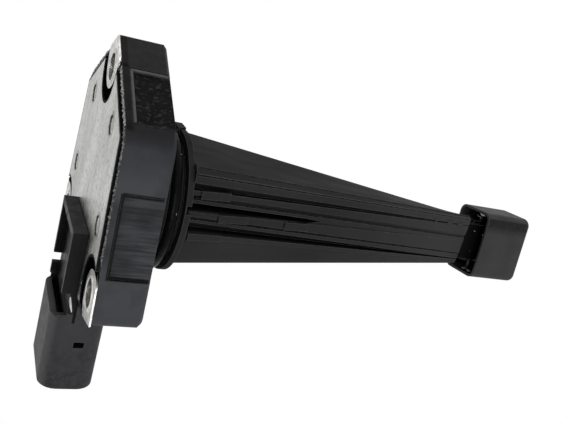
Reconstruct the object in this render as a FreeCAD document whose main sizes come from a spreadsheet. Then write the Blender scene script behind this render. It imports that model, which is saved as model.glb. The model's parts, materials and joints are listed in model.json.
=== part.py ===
import FreeCAD, Part
import math
import os

import Sketcher

# An oil level sensor: a three-bolt flange with a side connector, and a ribbed tapered tower under a cap.
# Origin on the tower's axis in the flange's seal face. +Z runs up the tower, +X out of the connector's mouth.

doc = FreeCAD.newDocument("OilLevelSensor")
V = FreeCAD.Vector

# Driving dimensions in millimetres
sheet = doc.addObject("Spreadsheet::Sheet", "Sizes")
SIZES = {
    # flange plan, given by its bolt circle and its corners
    "bolt_circle_radius": 31.4,
    "flange_thick": 11.5,
    "nose_margin": 8.0,
    "shoulder_back": 23.2,
    "shoulder_half": 29.3,
    "heel_margin_front": 4.8,
    "heel_margin_side": 7.4,
    "front_reach": 27.0,
    "front_half": 9.0,
    "nose_round": 1.6,
    "shoulder_round": 8.0,
    "heel_round": 3.4,
    "rim_bevel": 0.8,
    # shallow pockets in the flange's sides, open to the seal face
    "side_pocket_depth": 0.9,
    "side_pocket_floor": 1.6,
    "nose_pocket_start": 11.5,
    "nose_pocket_length": 18.3,
    "long_pocket_start": 13.0,
    "long_pocket_length": 19.6,
    # sealing spigot, its ring and the tower's foot
    "spigot_margin": 2.4,
    "spigot_height": 4.3,
    "ring_groove_radius": 16.2,
    "ring_section": 1.5,
    "foot_low": 8.6,
    "foot_margin": 2.7,
    "foot_thick": 1.5,
    "lug_margin": 3.2,
    "lug_side": 4.0,
    "lug_half": 2.4,
    "lug_drop": 0.7,
    # chamber for the electronics, with a flat towards the connector
    "chamber_middle": -6.3,
    "chamber_radius": 13.0,
    "chamber_flat": 5.2,
    "chamber_step": 7.4,
    "step_wide": 1.0,
    "well_floor": 2.5,
    "stack_bore": 5.0,
    "membrane": 1.6,
    "probe_back": 12.5,
    "probe_side": 4.0,
    "probe_radius": 1.4,
    "slip": 0.1,
    # cover plate of pressed sheet
    "plate_thick": 1.0,
    "plate_proud": 0.8,
    "plate_inset": 2.6,
    "plate_gap": 0.2,
    "plate_lip": 0.4,
    "plate_opening": 9.0,
    "plate_corner": 1.5,
    "mark_radius": 2.4,
    "mark_depth": 0.35,
    "back_mark_middle": 21.0,
    "back_mark_side": 15.2,
    "front_mark_middle": 0.8,
    "front_mark_side": 22.7,
    "gasket_wide": 1.6,
    "gasket_thick": 0.5,
    "gasket_flat": 6.4,
    # bolt bushes with wide collars
    "bush_bore": 3.3,
    "bush_radius": 4.65,
    "collar_radius": 7.2,
    "collar_thick": 0.4,
    "collar_inset": 0.2,
    "moat_depth": 1.5,
    "moat_wall": 0.9,
    # connector shell and the raised frame beside it
    "plug_middle": -4.25,
    "plug_half": 12.25,
    "plug_top": 3.4,
    "plug_bottom": 17.2,
    "plug_round": 4.5,
    "plug_start": 24.5,
    "plug_mouth": 49.2,
    "plug_wall": 1.6,
    "socket_depth": 15.0,
    "heel_hollow": 4.6,
    "hollow_corner": 1.6,
    "bevel_run": 3.6,
    "frame_back": 5.8,
    "frame_back_wall": 1.7,
    "frame_wall": 1.2,
    "frame_rise": 4.5,
    "frame_end": 22.0,
    "frame_floor": 2.35,
    "latch_start": 35.4,
    "latch_long": 1.6,
    "latch_tall": 2.6,
    # terminals
    "pin_pitch": 5.0,
    "pin_wide": 2.2,
    "pin_thick": 0.6,
    "pin_level": 10.3,
    "pin_inner": 0.3,
    "pin_outer": 45.2,
    "pin_foot": 1.0,
    # circuit board and its parts
    "board_thick": 1.6,
    "chip_side": 7.0,
    "chip_tall": 1.1,
    "can_radius": 2.0,
    "can_tall": 1.3,
    # ultrasonic stack
    "disc_thick": 1.0,
    "disc_radius": 4.2,
    "pad_thick": 2.4,
    # tower between its foot and its end
    "tower_end": 105.3,
    "base_left": -14.4,
    "base_right": 11.9,
    "base_near": 16.0,
    "base_far": 14.5,
    "base_far_left": -15.9,
    "base_far_right": 13.0,
    "base_bevel": 1.4,
    "corner_cut": 0.4,
    "end_left": -9.1,
    "end_right": 7.25,
    "end_near": 4.2,
    "end_far": 4.2,
    "end_far_left": -7.1,
    "end_far_right": 5.3,
    "end_bevel": 0.65,
    "pad_raise": 0.55,
    "slot_deep": 7.4,
    # bore, tube and vent
    "tube_bore": 4.0,
    "tube_radius": 5.0,
    "tube_end": 70.0,
    "tube_slip": 0.12,
    "vent_radius": 1.8,
    # neck and cap
    "neck_left": -6.2,
    "neck_right": 5.6,
    "neck_half": 3.4,
    "neck_nose": 0.9,
    "nose_half": 1.6,
    "nose_start": 109.6,
    "nose_rise": 2.6,
    "cap_rim": 110.4,
    "cap_end": 127.9,
    "cap_half_wide": 10.75,
    "cap_half_deep": 7.4,
    "cap_turn": -6.0,
    "cap_wall": 0.75,
    "cap_floor": 1.2,
    "cap_corner": 2.6,
    "cap_edge": 1.6,
    "cap_rib": 1.0,
}

# Lines along the tower's near face: place across at the foot and at the end, then depth at both
FACE_LINES = (
    ("bevel_line", -12.85, -8.35, 0.0, 0.0),
    ("bevel_cut_top", -12.85, -8.35, 0.35, 0.25),
    ("bevel_cut_low", -12.4, -8.05, 0.35, 0.25),
    ("bevel_cut_end", -12.4, -8.05, 0.0, 0.0),
    ("upper_slot_top", -10.5, -6.35, 0.0, 0.0),
    ("upper_slot_top_in", -10.5, -6.35, 2.0, 0.5),
    ("upper_slot_low_in", -8.6, -6.0, 2.0, 0.5),
    ("first_rib_top", -8.6, -6.0, 0.0, 0.0),
    ("first_rib_low", -7.45, -3.2, 0.0, 0.0),
    ("first_groove_top", -7.4, -2.3, 1.6, 0.45),
    ("first_groove_low", -5.95, -1.9, 1.6, 0.45),
    ("first_ledge_top", -5.95, -1.9, 0.8, 0.05),
    ("first_ledge_low", -5.15, -1.4, 0.8, 0.05),
    ("second_rib_foot", -2.9, -1.1, 0.8, 0.05),
    ("second_rib_top", -2.9, -1.1, 0.0, 0.0),
    ("second_rib_low", -1.65, 3.3, 0.0, 0.0),
    ("second_groove_top", -1.65, 3.3, 1.6, 0.45),
    ("second_groove_low", -0.65, 3.8, 1.6, 0.45),
    ("second_ledge_top", -0.65, 3.8, 0.8, 0.1),
    ("second_ledge_low", 0.05, 5.35, 0.8, 0.1),
    ("lower_slot_top_in", 0.05, 5.35, 5.0, 0.7),
    ("lower_slot_low_in", 2.85, 5.6, 5.0, 0.7),
    ("third_rib_top", 2.85, 5.6, 0.0, 0.0),
    ("third_rib_low", 4.2, 5.95, 0.0, 0.0),
    ("lower_panel_top", 4.5, 6.2, 0.5, 0.2),
)
# Plainer lines on the hidden far face, listed from right to left
FAR_LINES = (
    ("far_slot_right", 5.6, 2.6, 0.0, 0.0),
    ("far_slot_right_in", 5.6, 2.6, 2.4, 0.8),
    ("far_slot_middle_in", 2.5, 0.95, 2.4, 0.8),
    ("far_slot_middle", 2.5, 0.95, 0.0, 0.0),
    ("far_groove_right", -5.0, -2.7, 0.0, 0.0),
    ("far_groove_right_in", -5.0, -2.7, 2.4, 0.8),
    ("far_groove_left_in", -8.1, -4.35, 2.4, 0.8),
    ("far_groove_left", -8.1, -4.35, 0.0, 0.0),
)
for name, foot_place, end_place, foot_depth, end_depth in FACE_LINES + FAR_LINES:
    SIZES[name + "_foot"] = foot_place
    SIZES[name + "_end"] = end_place
    SIZES[name + "_foot_depth"] = foot_depth
    SIZES[name + "_end_depth"] = end_depth

# Raised pads on the ribs: height along the tower and places across at both ends
PADS = (
    ("first_pad", 12.6, 20.5, -8.75, -8.8, -6.6, -6.7),
    ("second_pad", 18.8, 26.9, -2.8, -2.8, -0.75, -0.8),
    ("fork_pad", 38.5, 45.8, -2.3, -2.35, -0.1, -0.2),
    ("third_pad", 11.5, 21.0, 2.75, 2.85, 4.6, 4.5),
)
for name, low, high, left_low, left_high, right_low, right_high in PADS:
    SIZES[name + "_low"] = low
    SIZES[name + "_high"] = high
    SIZES[name + "_left_low"] = left_low
    SIZES[name + "_left_high"] = left_high
    SIZES[name + "_right_low"] = right_low
    SIZES[name + "_right_high"] = right_high

# Outline of the middle slot, which closes in a point half way up the tower
SLOT_CORNERS = (
    ("slot_foot_left", -5.1, 8.9),
    ("slot_foot_right", -2.97, 8.9),
    ("slot_bend_right", -2.3, 45.7),
    ("slot_point", -3.05, 50.5),
    ("slot_bend_left", -3.6, 45.0),
)
for name, across, along in SLOT_CORNERS:
    SIZES[name + "_across"] = across
    SIZES[name + "_along"] = along

for row, (alias, number) in enumerate(SIZES.items(), start=1):
    cell = "A%d" % row
    sheet.set(cell, str(number))
    sheet.setAlias(cell, alias)
doc.recompute()


def size(alias):
    return float(sheet.get(alias))


def worked(text):
    # the number that an expression on the sheet stands for
    return float(sheet.evalExpression(text))


def bind(target, **links):
    for prop, text in links.items():
        target.setExpression(prop, text)
    return target


# Helpers for bodies and their sketches
def origin_plane(body, role):
    for feature in body.Origin.OriginFeatures:
        if feature.Role == role:
            return feature
    raise RuntimeError("no plane " + role)


def new_body(name):
    body = doc.addObject("PartDesign::Body", name + "_body")
    body.Label = name
    body.Placement = FreeCAD.Placement(V(0, 0, 0), FreeCAD.Rotation(0, 0, 0))
    return body


def new_sketch(body, name, height="0", role="XY_Plane", turn=None):
    sketch = body.newObject("Sketcher::SketchObject", name)
    sketch.AttachmentSupport = [(origin_plane(body, role), "")]
    sketch.MapMode = "FlatFace"
    sketch.setExpression("AttachmentOffset.Base.z", height)
    if turn:
        spin = FreeCAD.Rotation(V(0, 0, 1), worked(turn))
        sketch.AttachmentOffset = FreeCAD.Placement(V(0, 0, worked(height)), spin)
        sketch.setExpression("AttachmentOffset.Rotation.Angle", turn)
    return sketch


def tie(sketch, curve, point, x, y):
    # ties one point of a curve to the expressions x and y
    link = sketch.addConstraint(Sketcher.Constraint("DistanceX", -1, 1, curve, point, worked(x)))
    sketch.setExpression("Constraints[%d]" % link, x)
    link = sketch.addConstraint(Sketcher.Constraint("DistanceY", -1, 1, curve, point, worked(y)))
    sketch.setExpression("Constraints[%d]" % link, y)


def add_polygon(sketch, corners):
    spots = [V(worked(x), worked(y), 0) for x, y in corners]
    first = sketch.GeometryCount
    count = len(spots)
    for i in range(count):
        sketch.addGeometry(Part.LineSegment(spots[i], spots[(i + 1) % count]), False)
    for i in range(count):
        sketch.addConstraint(Sketcher.Constraint("Coincident", first + i, 2, first + (i + 1) % count, 1))
    for i, (x, y) in enumerate(corners):
        tie(sketch, first + i, 1, x, y)
    return sketch


def add_circle(sketch, x, y, radius):
    place = V(worked(x), worked(y), 0)
    curve = sketch.addGeometry(Part.Circle(place, V(0, 0, 1), worked(radius)), False)
    link = sketch.addConstraint(Sketcher.Constraint("Radius", curve, worked(radius)))
    sketch.setExpression("Constraints[%d]" % link, radius)
    tie(sketch, curve, 3, x, y)
    return sketch


def add_flatted(sketch, x, radius, flat):
    # a circle about x, 0 that is cut off straight at the place flat
    middle = worked(x)
    wide = worked(radius)
    rise = math.sqrt(wide * wide - (worked(flat) - middle) ** 2)
    turn = math.atan2(rise, worked(flat) - middle)
    ring = Part.Circle(V(middle, 0, 0), V(0, 0, 1), wide)
    arc = sketch.addGeometry(Part.ArcOfCircle(ring, turn, 2 * math.pi - turn), False)
    top = V(worked(flat), rise, 0)
    low = V(worked(flat), -rise, 0)
    line = sketch.addGeometry(Part.LineSegment(low, top), False)
    sketch.addConstraint(Sketcher.Constraint("Coincident", arc, 2, line, 1))
    sketch.addConstraint(Sketcher.Constraint("Coincident", arc, 1, line, 2))
    link = sketch.addConstraint(Sketcher.Constraint("Radius", arc, wide))
    sketch.setExpression("Constraints[%d]" % link, radius)
    tie(sketch, arc, 3, x, "0")
    sketch.addConstraint(Sketcher.Constraint("Vertical", line))
    link = sketch.addConstraint(Sketcher.Constraint("DistanceX", -1, 1, line, 1, worked(flat)))
    sketch.setExpression("Constraints[%d]" % link, flat)
    return sketch


def add_box(sketch, x_low, x_high, y_low, y_high):
    return add_polygon(sketch, [(x_low, y_low), (x_high, y_low), (x_high, y_high), (x_low, y_high)])


def add_rounded_box(sketch, x_low, x_high, y_low, y_high, radius):
    # four corner arcs, anticlockwise from the upper right, joined by level and upright lines
    wide = worked(radius)
    first = sketch.GeometryCount
    centres = (
        ("(%s) - (%s)" % (x_high, radius), "(%s) - (%s)" % (y_high, radius)),
        ("(%s) + (%s)" % (x_low, radius), "(%s) - (%s)" % (y_high, radius)),
        ("(%s) + (%s)" % (x_low, radius), "(%s) + (%s)" % (y_low, radius)),
        ("(%s) - (%s)" % (x_high, radius), "(%s) + (%s)" % (y_low, radius)),
    )
    arcs = []
    for i, (x, y) in enumerate(centres):
        ring = Part.Circle(V(worked(x), worked(y), 0), V(0, 0, 1), wide)
        arcs.append(Part.ArcOfCircle(ring, i * math.pi / 2, (i + 1) * math.pi / 2))
        sketch.addGeometry(arcs[-1], False)
    for i in range(4):
        sketch.addGeometry(Part.LineSegment(arcs[i].EndPoint, arcs[(i + 1) % 4].StartPoint), False)
    for i, (x, y) in enumerate(centres):
        line = first + 4 + i
        sketch.addConstraint(Sketcher.Constraint("Tangent", first + i, 2, line, 1))
        sketch.addConstraint(Sketcher.Constraint("Tangent", line, 2, first + (i + 1) % 4, 1))
        tie(sketch, first + i, 3, x, y)
    link = sketch.addConstraint(Sketcher.Constraint("Radius", first, wide))
    sketch.setExpression("Constraints[%d]" % link, radius)
    return sketch


def pad(body, sketch, length, downward=False):
    feature = body.newObject("PartDesign::Pad", sketch.Name + "_pad")
    feature.Profile = sketch
    feature.Reversed = downward
    return bind(feature, Length=length)


def pocket(body, sketch, depth, upward=False):
    # cuts along minus the sketch's normal, or along the normal when upward
    feature = body.newObject("PartDesign::Pocket", sketch.Name + "_cut")
    feature.Profile = sketch
    feature.Reversed = upward
    return bind(feature, Length=depth)


def loft(body, low, high):
    feature = body.newObject("PartDesign::AdditiveLoft", low.Name + "_loft")
    feature.Profile = low
    feature.Sections = [high]
    feature.Ruled = True
    return feature


def edge_names(feature, test):
    names = []
    for i, edge in enumerate(feature.Shape.Edges, start=1):
        low, high = edge.ParameterRange
        middle = (low + high) / 2
        if test(edge.valueAt(middle), edge.tangentAt(middle), edge):
            names.append("Edge%d" % i)
    return names


def fillet(body, feature, test, radius):
    doc.recompute()
    names = edge_names(feature, test)
    if not names:
        raise RuntimeError("no edge to round on " + feature.Name)
    rounded = body.newObject("PartDesign::Fillet", feature.Name + "_round")
    rounded.Base = (feature, names)
    return bind(rounded, Radius=radius)


def bevel(body, feature, test, width):
    doc.recompute()
    cut = body.newObject("PartDesign::Chamfer", feature.Name + "_bevel")
    cut.Base = (feature, edge_names(feature, test))
    return bind(cut, Size=width)


def upright_near(spots, reach=0.3):
    # a test for straight edges along Z beside any of the spots
    def test(middle, direction, edge):
        near = any(math.hypot(middle.x - spot.x, middle.y - spot.y) < reach for spot in spots)
        return abs(direction.z) > 0.99 and near
    return test


# Flange outline, shared by the housing, the plate and the bush collars
HEEL_FRONT = "(Sizes.bolt_circle_radius * cos(60 deg) + Sizes.heel_margin_front)"
HEEL_HALF = "(Sizes.bolt_circle_radius * sin(60 deg) + Sizes.heel_margin_side)"
OUTLINE = (
    ("-(Sizes.bolt_circle_radius + Sizes.nose_margin)", "0"),
    ("-Sizes.shoulder_back", "-Sizes.shoulder_half"),
    (HEEL_FRONT, "-" + HEEL_HALF),
    ("Sizes.front_reach", "-Sizes.front_half"),
    ("Sizes.front_reach", "Sizes.front_half"),
    (HEEL_FRONT, HEEL_HALF),
    ("-Sizes.shoulder_back", "Sizes.shoulder_half"),
)


def outline_spots():
    return [V(worked(x), worked(y), 0) for x, y in OUTLINE]


def inset_outline(inset):
    # the outline with every corner moved inwards along its bisector
    spots = outline_spots()
    count = len(spots)
    corners = []
    for i, (x, y) in enumerate(OUTLINE):
        before = (spots[i] - spots[i - 1]).normalize()
        after = (spots[(i + 1) % count] - spots[i]).normalize()
        left_before = V(-before.y, before.x, 0)
        left_after = V(-after.y, after.x, 0)
        move = (left_before + left_after) * (1 / (1 + left_before.dot(left_after)))
        corners.append((
            "%s + (%s) * (%.5f)" % (x, inset, move.x),
            "%s + (%s) * (%.5f)" % (y, inset, move.y),
        ))
    return corners


BOLT_ANGLES = (180, -60, 60)


def bolt_spot(angle):
    return (
        "Sizes.bolt_circle_radius * cos(%d deg)" % angle,
        "Sizes.bolt_circle_radius * sin(%d deg)" % angle,
    )


def bay_corners(angle, half):
    # a box as wide as a round opening, from the bolt outwards past the flange's corner
    corners = []
    for out, side in ((0, -1), (1, -1), (1, 1), (0, 1)):
        forward = "(Sizes.bolt_circle_radius + %d * 2 * Sizes.plate_opening)" % out
        x = "%s * cos(%d deg) - (%d) * (%s) * sin(%d deg)" % (forward, angle, side, half, angle)
        y = "%s * sin(%d deg) + (%d) * (%s) * cos(%d deg)" % (forward, angle, side, half, angle)
        corners.append((x, y))
    return corners


OUTER_FACE = "-Sizes.flange_thick"
PLATE_FACE = "-Sizes.flange_thick - Sizes.plate_proud"
PLATE_BACK = "-Sizes.flange_thick - Sizes.plate_proud + Sizes.plate_thick"
COLLAR_FACE = "-Sizes.flange_thick - Sizes.collar_thick"
GASKET_SEAT = PLATE_BACK + " + Sizes.gasket_thick"
SPIGOT_RADIUS = "(Sizes.ring_groove_radius + Sizes.spigot_margin)"
FOOT_RADIUS = "(Sizes.ring_groove_radius + Sizes.foot_margin)"
LUG_REACH = "(Sizes.ring_groove_radius + Sizes.lug_margin)"
LIP_INSIDE = "Sizes.plate_opening - Sizes.plate_gap - Sizes.plate_lip"
PIN_FACE = "-Sizes.pin_level - Sizes.pin_thick / 2"
PIN_BACK = "-Sizes.pin_level + Sizes.pin_thick / 2"
PLUG_NEAR = "Sizes.plug_middle - Sizes.plug_half"
PLUG_FAR = "Sizes.plug_middle + Sizes.plug_half"


def pin_side(number, side):
    return "Sizes.plug_middle + Sizes.pin_pitch * (%d) + Sizes.pin_wide / 2 * (%d)" % (number, side)


# Housing: flange, spigot, connector shell and raised frame in one moulding
def build_housing():
    body = new_body("flange_housing")
    pad(body, add_polygon(new_sketch(body, "flange_outline", OUTER_FACE), OUTLINE), "Sizes.flange_thick")
    # moats round the three collars, then the flange's own wall put back outside them
    for angle in BOLT_ANGLES:
        x, y = bolt_spot(angle)
        moat = new_sketch(body, "moat_%d" % (angle % 360), OUTER_FACE)
        add_circle(moat, x, y, LIP_INSIDE)
        add_circle(moat, x, y, "Sizes.collar_radius + Sizes.slip")
        pocket(body, moat, "Sizes.moat_depth", upward=True)
    wall = new_sketch(body, "flange_wall", OUTER_FACE)
    add_polygon(wall, OUTLINE)
    add_polygon(wall, inset_outline("Sizes.moat_wall"))
    wall_pad = pad(body, wall, "Sizes.moat_depth")
    spots = outline_spots()
    nose = fillet(body, wall_pad, upright_near([spots[0]]), "Sizes.nose_round")
    shoulder = fillet(body, nose, upright_near([spots[1], spots[6]]), "Sizes.shoulder_round")
    heel = fillet(body, shoulder, upright_near([spots[2], spots[5]]), "Sizes.heel_round")

    def on_seal_rim(middle, direction, edge):
        return abs(middle.z) < 0.01 and abs(direction.z) < 0.01

    bevel(body, heel, on_seal_rim, "Sizes.rim_bevel")
    # a thin lip round the plate and its openings, as high as the plate's face
    lip = new_sketch(body, "plate_lip", OUTER_FACE)
    add_polygon(lip, inset_outline("Sizes.plate_inset - Sizes.plate_gap - Sizes.plate_lip"))
    pad(body, lip, "Sizes.plate_proud", downward=True)
    seat = body.newObject("PartDesign::Boolean", "plate_seat")
    seat.Type = "Cut"
    seat.setObjects([build_plate_blank("plate_seat_tool", "Sizes.plate_gap")])
    for angle in BOLT_ANGLES:
        x, y = bolt_spot(angle)
        mark = "%d" % (angle % 360)
        well = add_circle(new_sketch(body, "collar_well_" + mark, PLATE_FACE), x, y, LIP_INSIDE)
        pocket(body, well, "Sizes.plate_proud", upward=True)
        bay = add_polygon(new_sketch(body, "collar_bay_" + mark, PLATE_FACE),
                          bay_corners(angle, "Sizes.plate_opening - Sizes.plate_gap"))
        pocket(body, bay, "Sizes.plate_proud", upward=True)
        bore = add_circle(new_sketch(body, "bush_bore_" + mark, OUTER_FACE), x, y,
                          "Sizes.bush_radius + Sizes.slip / 2")
        pocket(body, bore, "Sizes.flange_thick", upward=True)
    # spigot
    spigot = add_circle(new_sketch(body, "spigot_circle"), "0", "0", SPIGOT_RADIUS)
    pad(body, spigot, "Sizes.spigot_height")
    build_connector(body)
    # chamber for the board, stepped so that the board rests on a shoulder
    gasket = add_flatted(new_sketch(body, "gasket_seat", OUTER_FACE), "Sizes.chamber_middle",
                         "Sizes.chamber_radius + Sizes.gasket_wide", "Sizes.gasket_flat")
    pocket(body, gasket, "Sizes.plate_thick - Sizes.plate_proud + Sizes.gasket_thick", upward=True)
    chamber = add_flatted(new_sketch(body, "chamber", OUTER_FACE), "Sizes.chamber_middle",
                          "Sizes.chamber_radius", "Sizes.chamber_flat")
    pocket(body, chamber, "Sizes.flange_thick - Sizes.chamber_step", upward=True)
    well = add_flatted(new_sketch(body, "well", OUTER_FACE), "Sizes.chamber_middle",
                       "Sizes.chamber_radius - Sizes.step_wide", "Sizes.chamber_flat")
    pocket(body, well, "Sizes.flange_thick - Sizes.well_floor", upward=True)
    stack = add_circle(new_sketch(body, "stack_well", OUTER_FACE), "0", "0", "Sizes.stack_bore")
    pocket(body, stack, "Sizes.flange_thick + Sizes.spigot_height - Sizes.membrane", upward=True)
    probe = add_circle(new_sketch(body, "probe_well", OUTER_FACE), "-Sizes.probe_back", "Sizes.probe_side",
                       "Sizes.probe_radius + Sizes.slip")
    pocket(body, probe, "Sizes.flange_thick + Sizes.spigot_height - Sizes.membrane", upward=True)
    build_side_pockets(body)
    return body


def build_connector(body):
    # connector shell, a rounded box lying along X
    shell = add_box(new_sketch(body, "plug_outline", "Sizes.plug_start", "YZ_Plane"),
                    PLUG_NEAR, PLUG_FAR, "-Sizes.plug_bottom", "-Sizes.plug_top")
    shell_pad = pad(body, shell, "Sizes.plug_mouth - Sizes.plug_start")
    mouth = size("plug_mouth")

    def long_shell_edge(middle, direction, edge):
        outside = abs(middle.y - size("plug_middle")) > size("plug_half") - 0.05
        return abs(direction.x) > 0.99 and middle.x > size("plug_start") and outside and edge.Length > 2 * size("bevel_run")

    shell_round = fillet(body, shell_pad, long_shell_edge, "Sizes.plug_round")
    body.Tip = shell_round
    # raised frame that stands through the plate beside the connector
    frame = add_box(new_sketch(body, "frame_outline", PLATE_BACK + " + 1"), "Sizes.frame_back",
                    "Sizes.plug_start + Sizes.bevel_run", PLUG_NEAR, PLUG_FAR)
    pad(body, frame, "Sizes.frame_rise + 1 + Sizes.plate_thick - Sizes.plate_proud", downward=True)
    hollow = add_box(new_sketch(body, "frame_hollow", OUTER_FACE + " - Sizes.frame_floor"),
                     "Sizes.frame_back + Sizes.frame_back_wall", "Sizes.plug_start + Sizes.bevel_run + 1",
                     PLUG_NEAR + " + Sizes.frame_wall", PLUG_FAR + " - Sizes.frame_wall")
    pocket(body, hollow, "Sizes.frame_rise")
    # the frame stops short of the shell, whose open end is cut back at a slant
    gap = add_polygon(new_sketch(body, "frame_break", OUTER_FACE + " - Sizes.frame_floor"), [
        ("Sizes.frame_end", PLUG_NEAR + " - 1"),
        ("Sizes.plug_start + Sizes.bevel_run", PLUG_NEAR + " - 1"),
        ("Sizes.plug_start", PLUG_FAR + " + 1"),
        ("Sizes.frame_end", PLUG_FAR + " + 1"),
    ])
    pocket(body, gap, "Sizes.plug_bottom")
    low = "-Sizes.plug_bottom + Sizes.plug_wall"
    corner = "Sizes.hollow_corner"
    relief = add_polygon(new_sketch(body, "shell_hollow", "Sizes.plug_start - 1", "YZ_Plane"), [
        (PLUG_NEAR + " + Sizes.plug_wall + " + corner, low),
        (PLUG_FAR + " - Sizes.plug_wall - " + corner, low),
        (PLUG_FAR + " - Sizes.plug_wall - " + corner + " / 4", low + " + " + corner + " / 4"),
        (PLUG_FAR + " - Sizes.plug_wall", low + " + " + corner),
        (PLUG_FAR + " - Sizes.plug_wall", OUTER_FACE + " - Sizes.frame_floor"),
        (PLUG_NEAR + " + Sizes.plug_wall", OUTER_FACE + " - Sizes.frame_floor"),
        (PLUG_NEAR + " + Sizes.plug_wall", low + " + " + corner),
        (PLUG_NEAR + " + Sizes.plug_wall + " + corner + " / 4", low + " + " + corner + " / 4"),
    ])
    pocket(body, relief, "Sizes.heel_hollow + Sizes.bevel_run + 1", upward=True)
    # socket that takes the plug
    socket = add_box(new_sketch(body, "socket_outline", "Sizes.plug_mouth", "YZ_Plane"),
                     PLUG_NEAR + " + Sizes.plug_wall", PLUG_FAR + " - Sizes.plug_wall",
                     "-Sizes.plug_bottom + Sizes.plug_wall", "-Sizes.plug_top - Sizes.plug_wall")
    socket_cut = pocket(body, socket, "Sizes.socket_depth")
    floor = mouth - size("socket_depth")

    def socket_corner(middle, direction, edge):
        inside = abs(middle.y - size("plug_middle")) < size("plug_half") - size("plug_wall") + 0.05
        corner = inside and abs(middle.y - size("plug_middle")) > size("plug_half") - size("plug_wall") - 0.05
        return abs(direction.x) > 0.99 and floor < middle.x < mouth and corner and edge.Length > 0.9 * (mouth - floor)

    socket_round = fillet(body, socket_cut, socket_corner, "Sizes.plug_round - Sizes.plug_wall")
    body.Tip = socket_round
    # latch window in the shell's near side; the sketch's normal runs along -Y
    window = add_box(new_sketch(body, "latch_window", "-(" + PLUG_NEAR + ") + 1", "XZ_Plane"),
                     "Sizes.latch_start", "Sizes.latch_start + Sizes.latch_long",
                     "-Sizes.pin_level - 0.4", "-Sizes.pin_level - 0.4 + Sizes.latch_tall")
    pocket(body, window, "Sizes.plug_wall + 2")
    # channels in which the terminals are moulded
    for number in (-1, 0, 1):
        channel = add_box(new_sketch(body, "channel_%d" % (number + 2), "Sizes.pin_inner", "YZ_Plane"),
                          pin_side(number, -1), pin_side(number, 1), PIN_FACE, PIN_BACK)
        pocket(body, channel, "Sizes.plug_mouth - Sizes.socket_depth - Sizes.pin_inner + 1", upward=True)


def along_side(corner, other, distance, inward):
    # a spot on the side between two corners, moved inwards from it
    start = V(worked(corner[0]), worked(corner[1]), 0)
    finish = V(worked(other[0]), worked(other[1]), 0)
    along = (finish - start).normalize()
    turned = V(-along.y, along.x, 0)
    if turned.dot(start) > 0:
        turned = turned * -1
    x = "%s + (%s) * (%.6f) + (%s) * (%.6f)" % (corner[0], distance, along.x, inward, turned.x)
    y = "%s + (%s) * (%.6f) + (%s) * (%.6f)" % (corner[1], distance, along.y, inward, turned.y)
    return (x, y)


def build_side_pockets(body):
    nose_end = "Sizes.nose_pocket_start + Sizes.nose_pocket_length"
    low = "Sizes.long_pocket_start"
    high = "Sizes.long_pocket_start + Sizes.long_pocket_length"
    runs = (
        ("nose_pocket_near", OUTLINE[0], OUTLINE[1], "Sizes.nose_pocket_start", nose_end),
        ("nose_pocket_far", OUTLINE[0], OUTLINE[6], "Sizes.nose_pocket_start", nose_end),
        ("long_pocket_near", OUTLINE[1], OUTLINE[2], low, high),
        ("long_pocket_far", OUTLINE[6], OUTLINE[5], low, high),
    )
    for name, corner, other, start, finish in runs:
        ring = [
            along_side(corner, other, start, "-1"),
            along_side(corner, other, finish, "-1"),
            along_side(corner, other, finish, "Sizes.side_pocket_depth"),
            along_side(corner, other, start, "Sizes.side_pocket_depth"),
        ]
        side_pocket = add_polygon(new_sketch(body, name), ring)
        pocket(body, side_pocket, "Sizes.flange_thick - Sizes.side_pocket_floor")


# Cover plate
def build_plate_blank(name, gap):
    # the plate's outline and openings, or with a gap the seat that takes it
    body = new_body(name)
    outline = add_polygon(new_sketch(body, name + "_outline", PLATE_FACE),
                          inset_outline("Sizes.plate_inset - (%s)" % gap))
    slab = pad(body, outline, "Sizes.plate_thick")

    def upright(middle, direction, edge):
        return abs(direction.z) > 0.99

    fillet(body, slab, upright, "Sizes.plate_corner")
    for angle in BOLT_ANGLES:
        x, y = bolt_spot(angle)
        mark = "_%d" % (angle % 360)
        half = "Sizes.plate_opening - (%s)" % gap
        hole = add_circle(new_sketch(body, name + "_opening" + mark, PLATE_FACE), x, y, half)
        pocket(body, hole, "Sizes.plate_thick", upward=True)
        bay = add_polygon(new_sketch(body, name + "_bay" + mark, PLATE_FACE), bay_corners(angle, half))
        pocket(body, bay, "Sizes.plate_thick", upward=True)
    return body


def build_plate():
    body = build_plate_blank("base_plate", "0")
    window = add_box(new_sketch(body, "frame_window", PLATE_FACE),
                     "Sizes.frame_back - Sizes.plate_gap", "Sizes.front_reach + 5",
                     PLUG_NEAR + " - Sizes.plate_gap", PLUG_FAR + " + Sizes.plate_gap")
    pocket(body, window, "Sizes.plate_thick", upward=True)
    marks = new_sketch(body, "pressed_marks", PLATE_FACE)
    for side in ("", "-"):
        add_circle(marks, "-Sizes.back_mark_middle", side + "Sizes.back_mark_side", "Sizes.mark_radius")
        add_circle(marks, "Sizes.front_mark_middle", side + "Sizes.front_mark_side", "Sizes.mark_radius")
    pocket(body, marks, "Sizes.mark_depth", upward=True)
    return body


def build_gasket():
    body = new_body("plate_gasket")
    ring = new_sketch(body, "gasket_outline", PLATE_BACK)
    add_flatted(ring, "Sizes.chamber_middle", "Sizes.chamber_radius + Sizes.gasket_wide - Sizes.slip",
                "Sizes.gasket_flat - Sizes.slip")
    add_flatted(ring, "Sizes.chamber_middle", "Sizes.chamber_radius", "Sizes.chamber_flat")
    pad(body, ring, "Sizes.gasket_thick")
    return body


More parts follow.
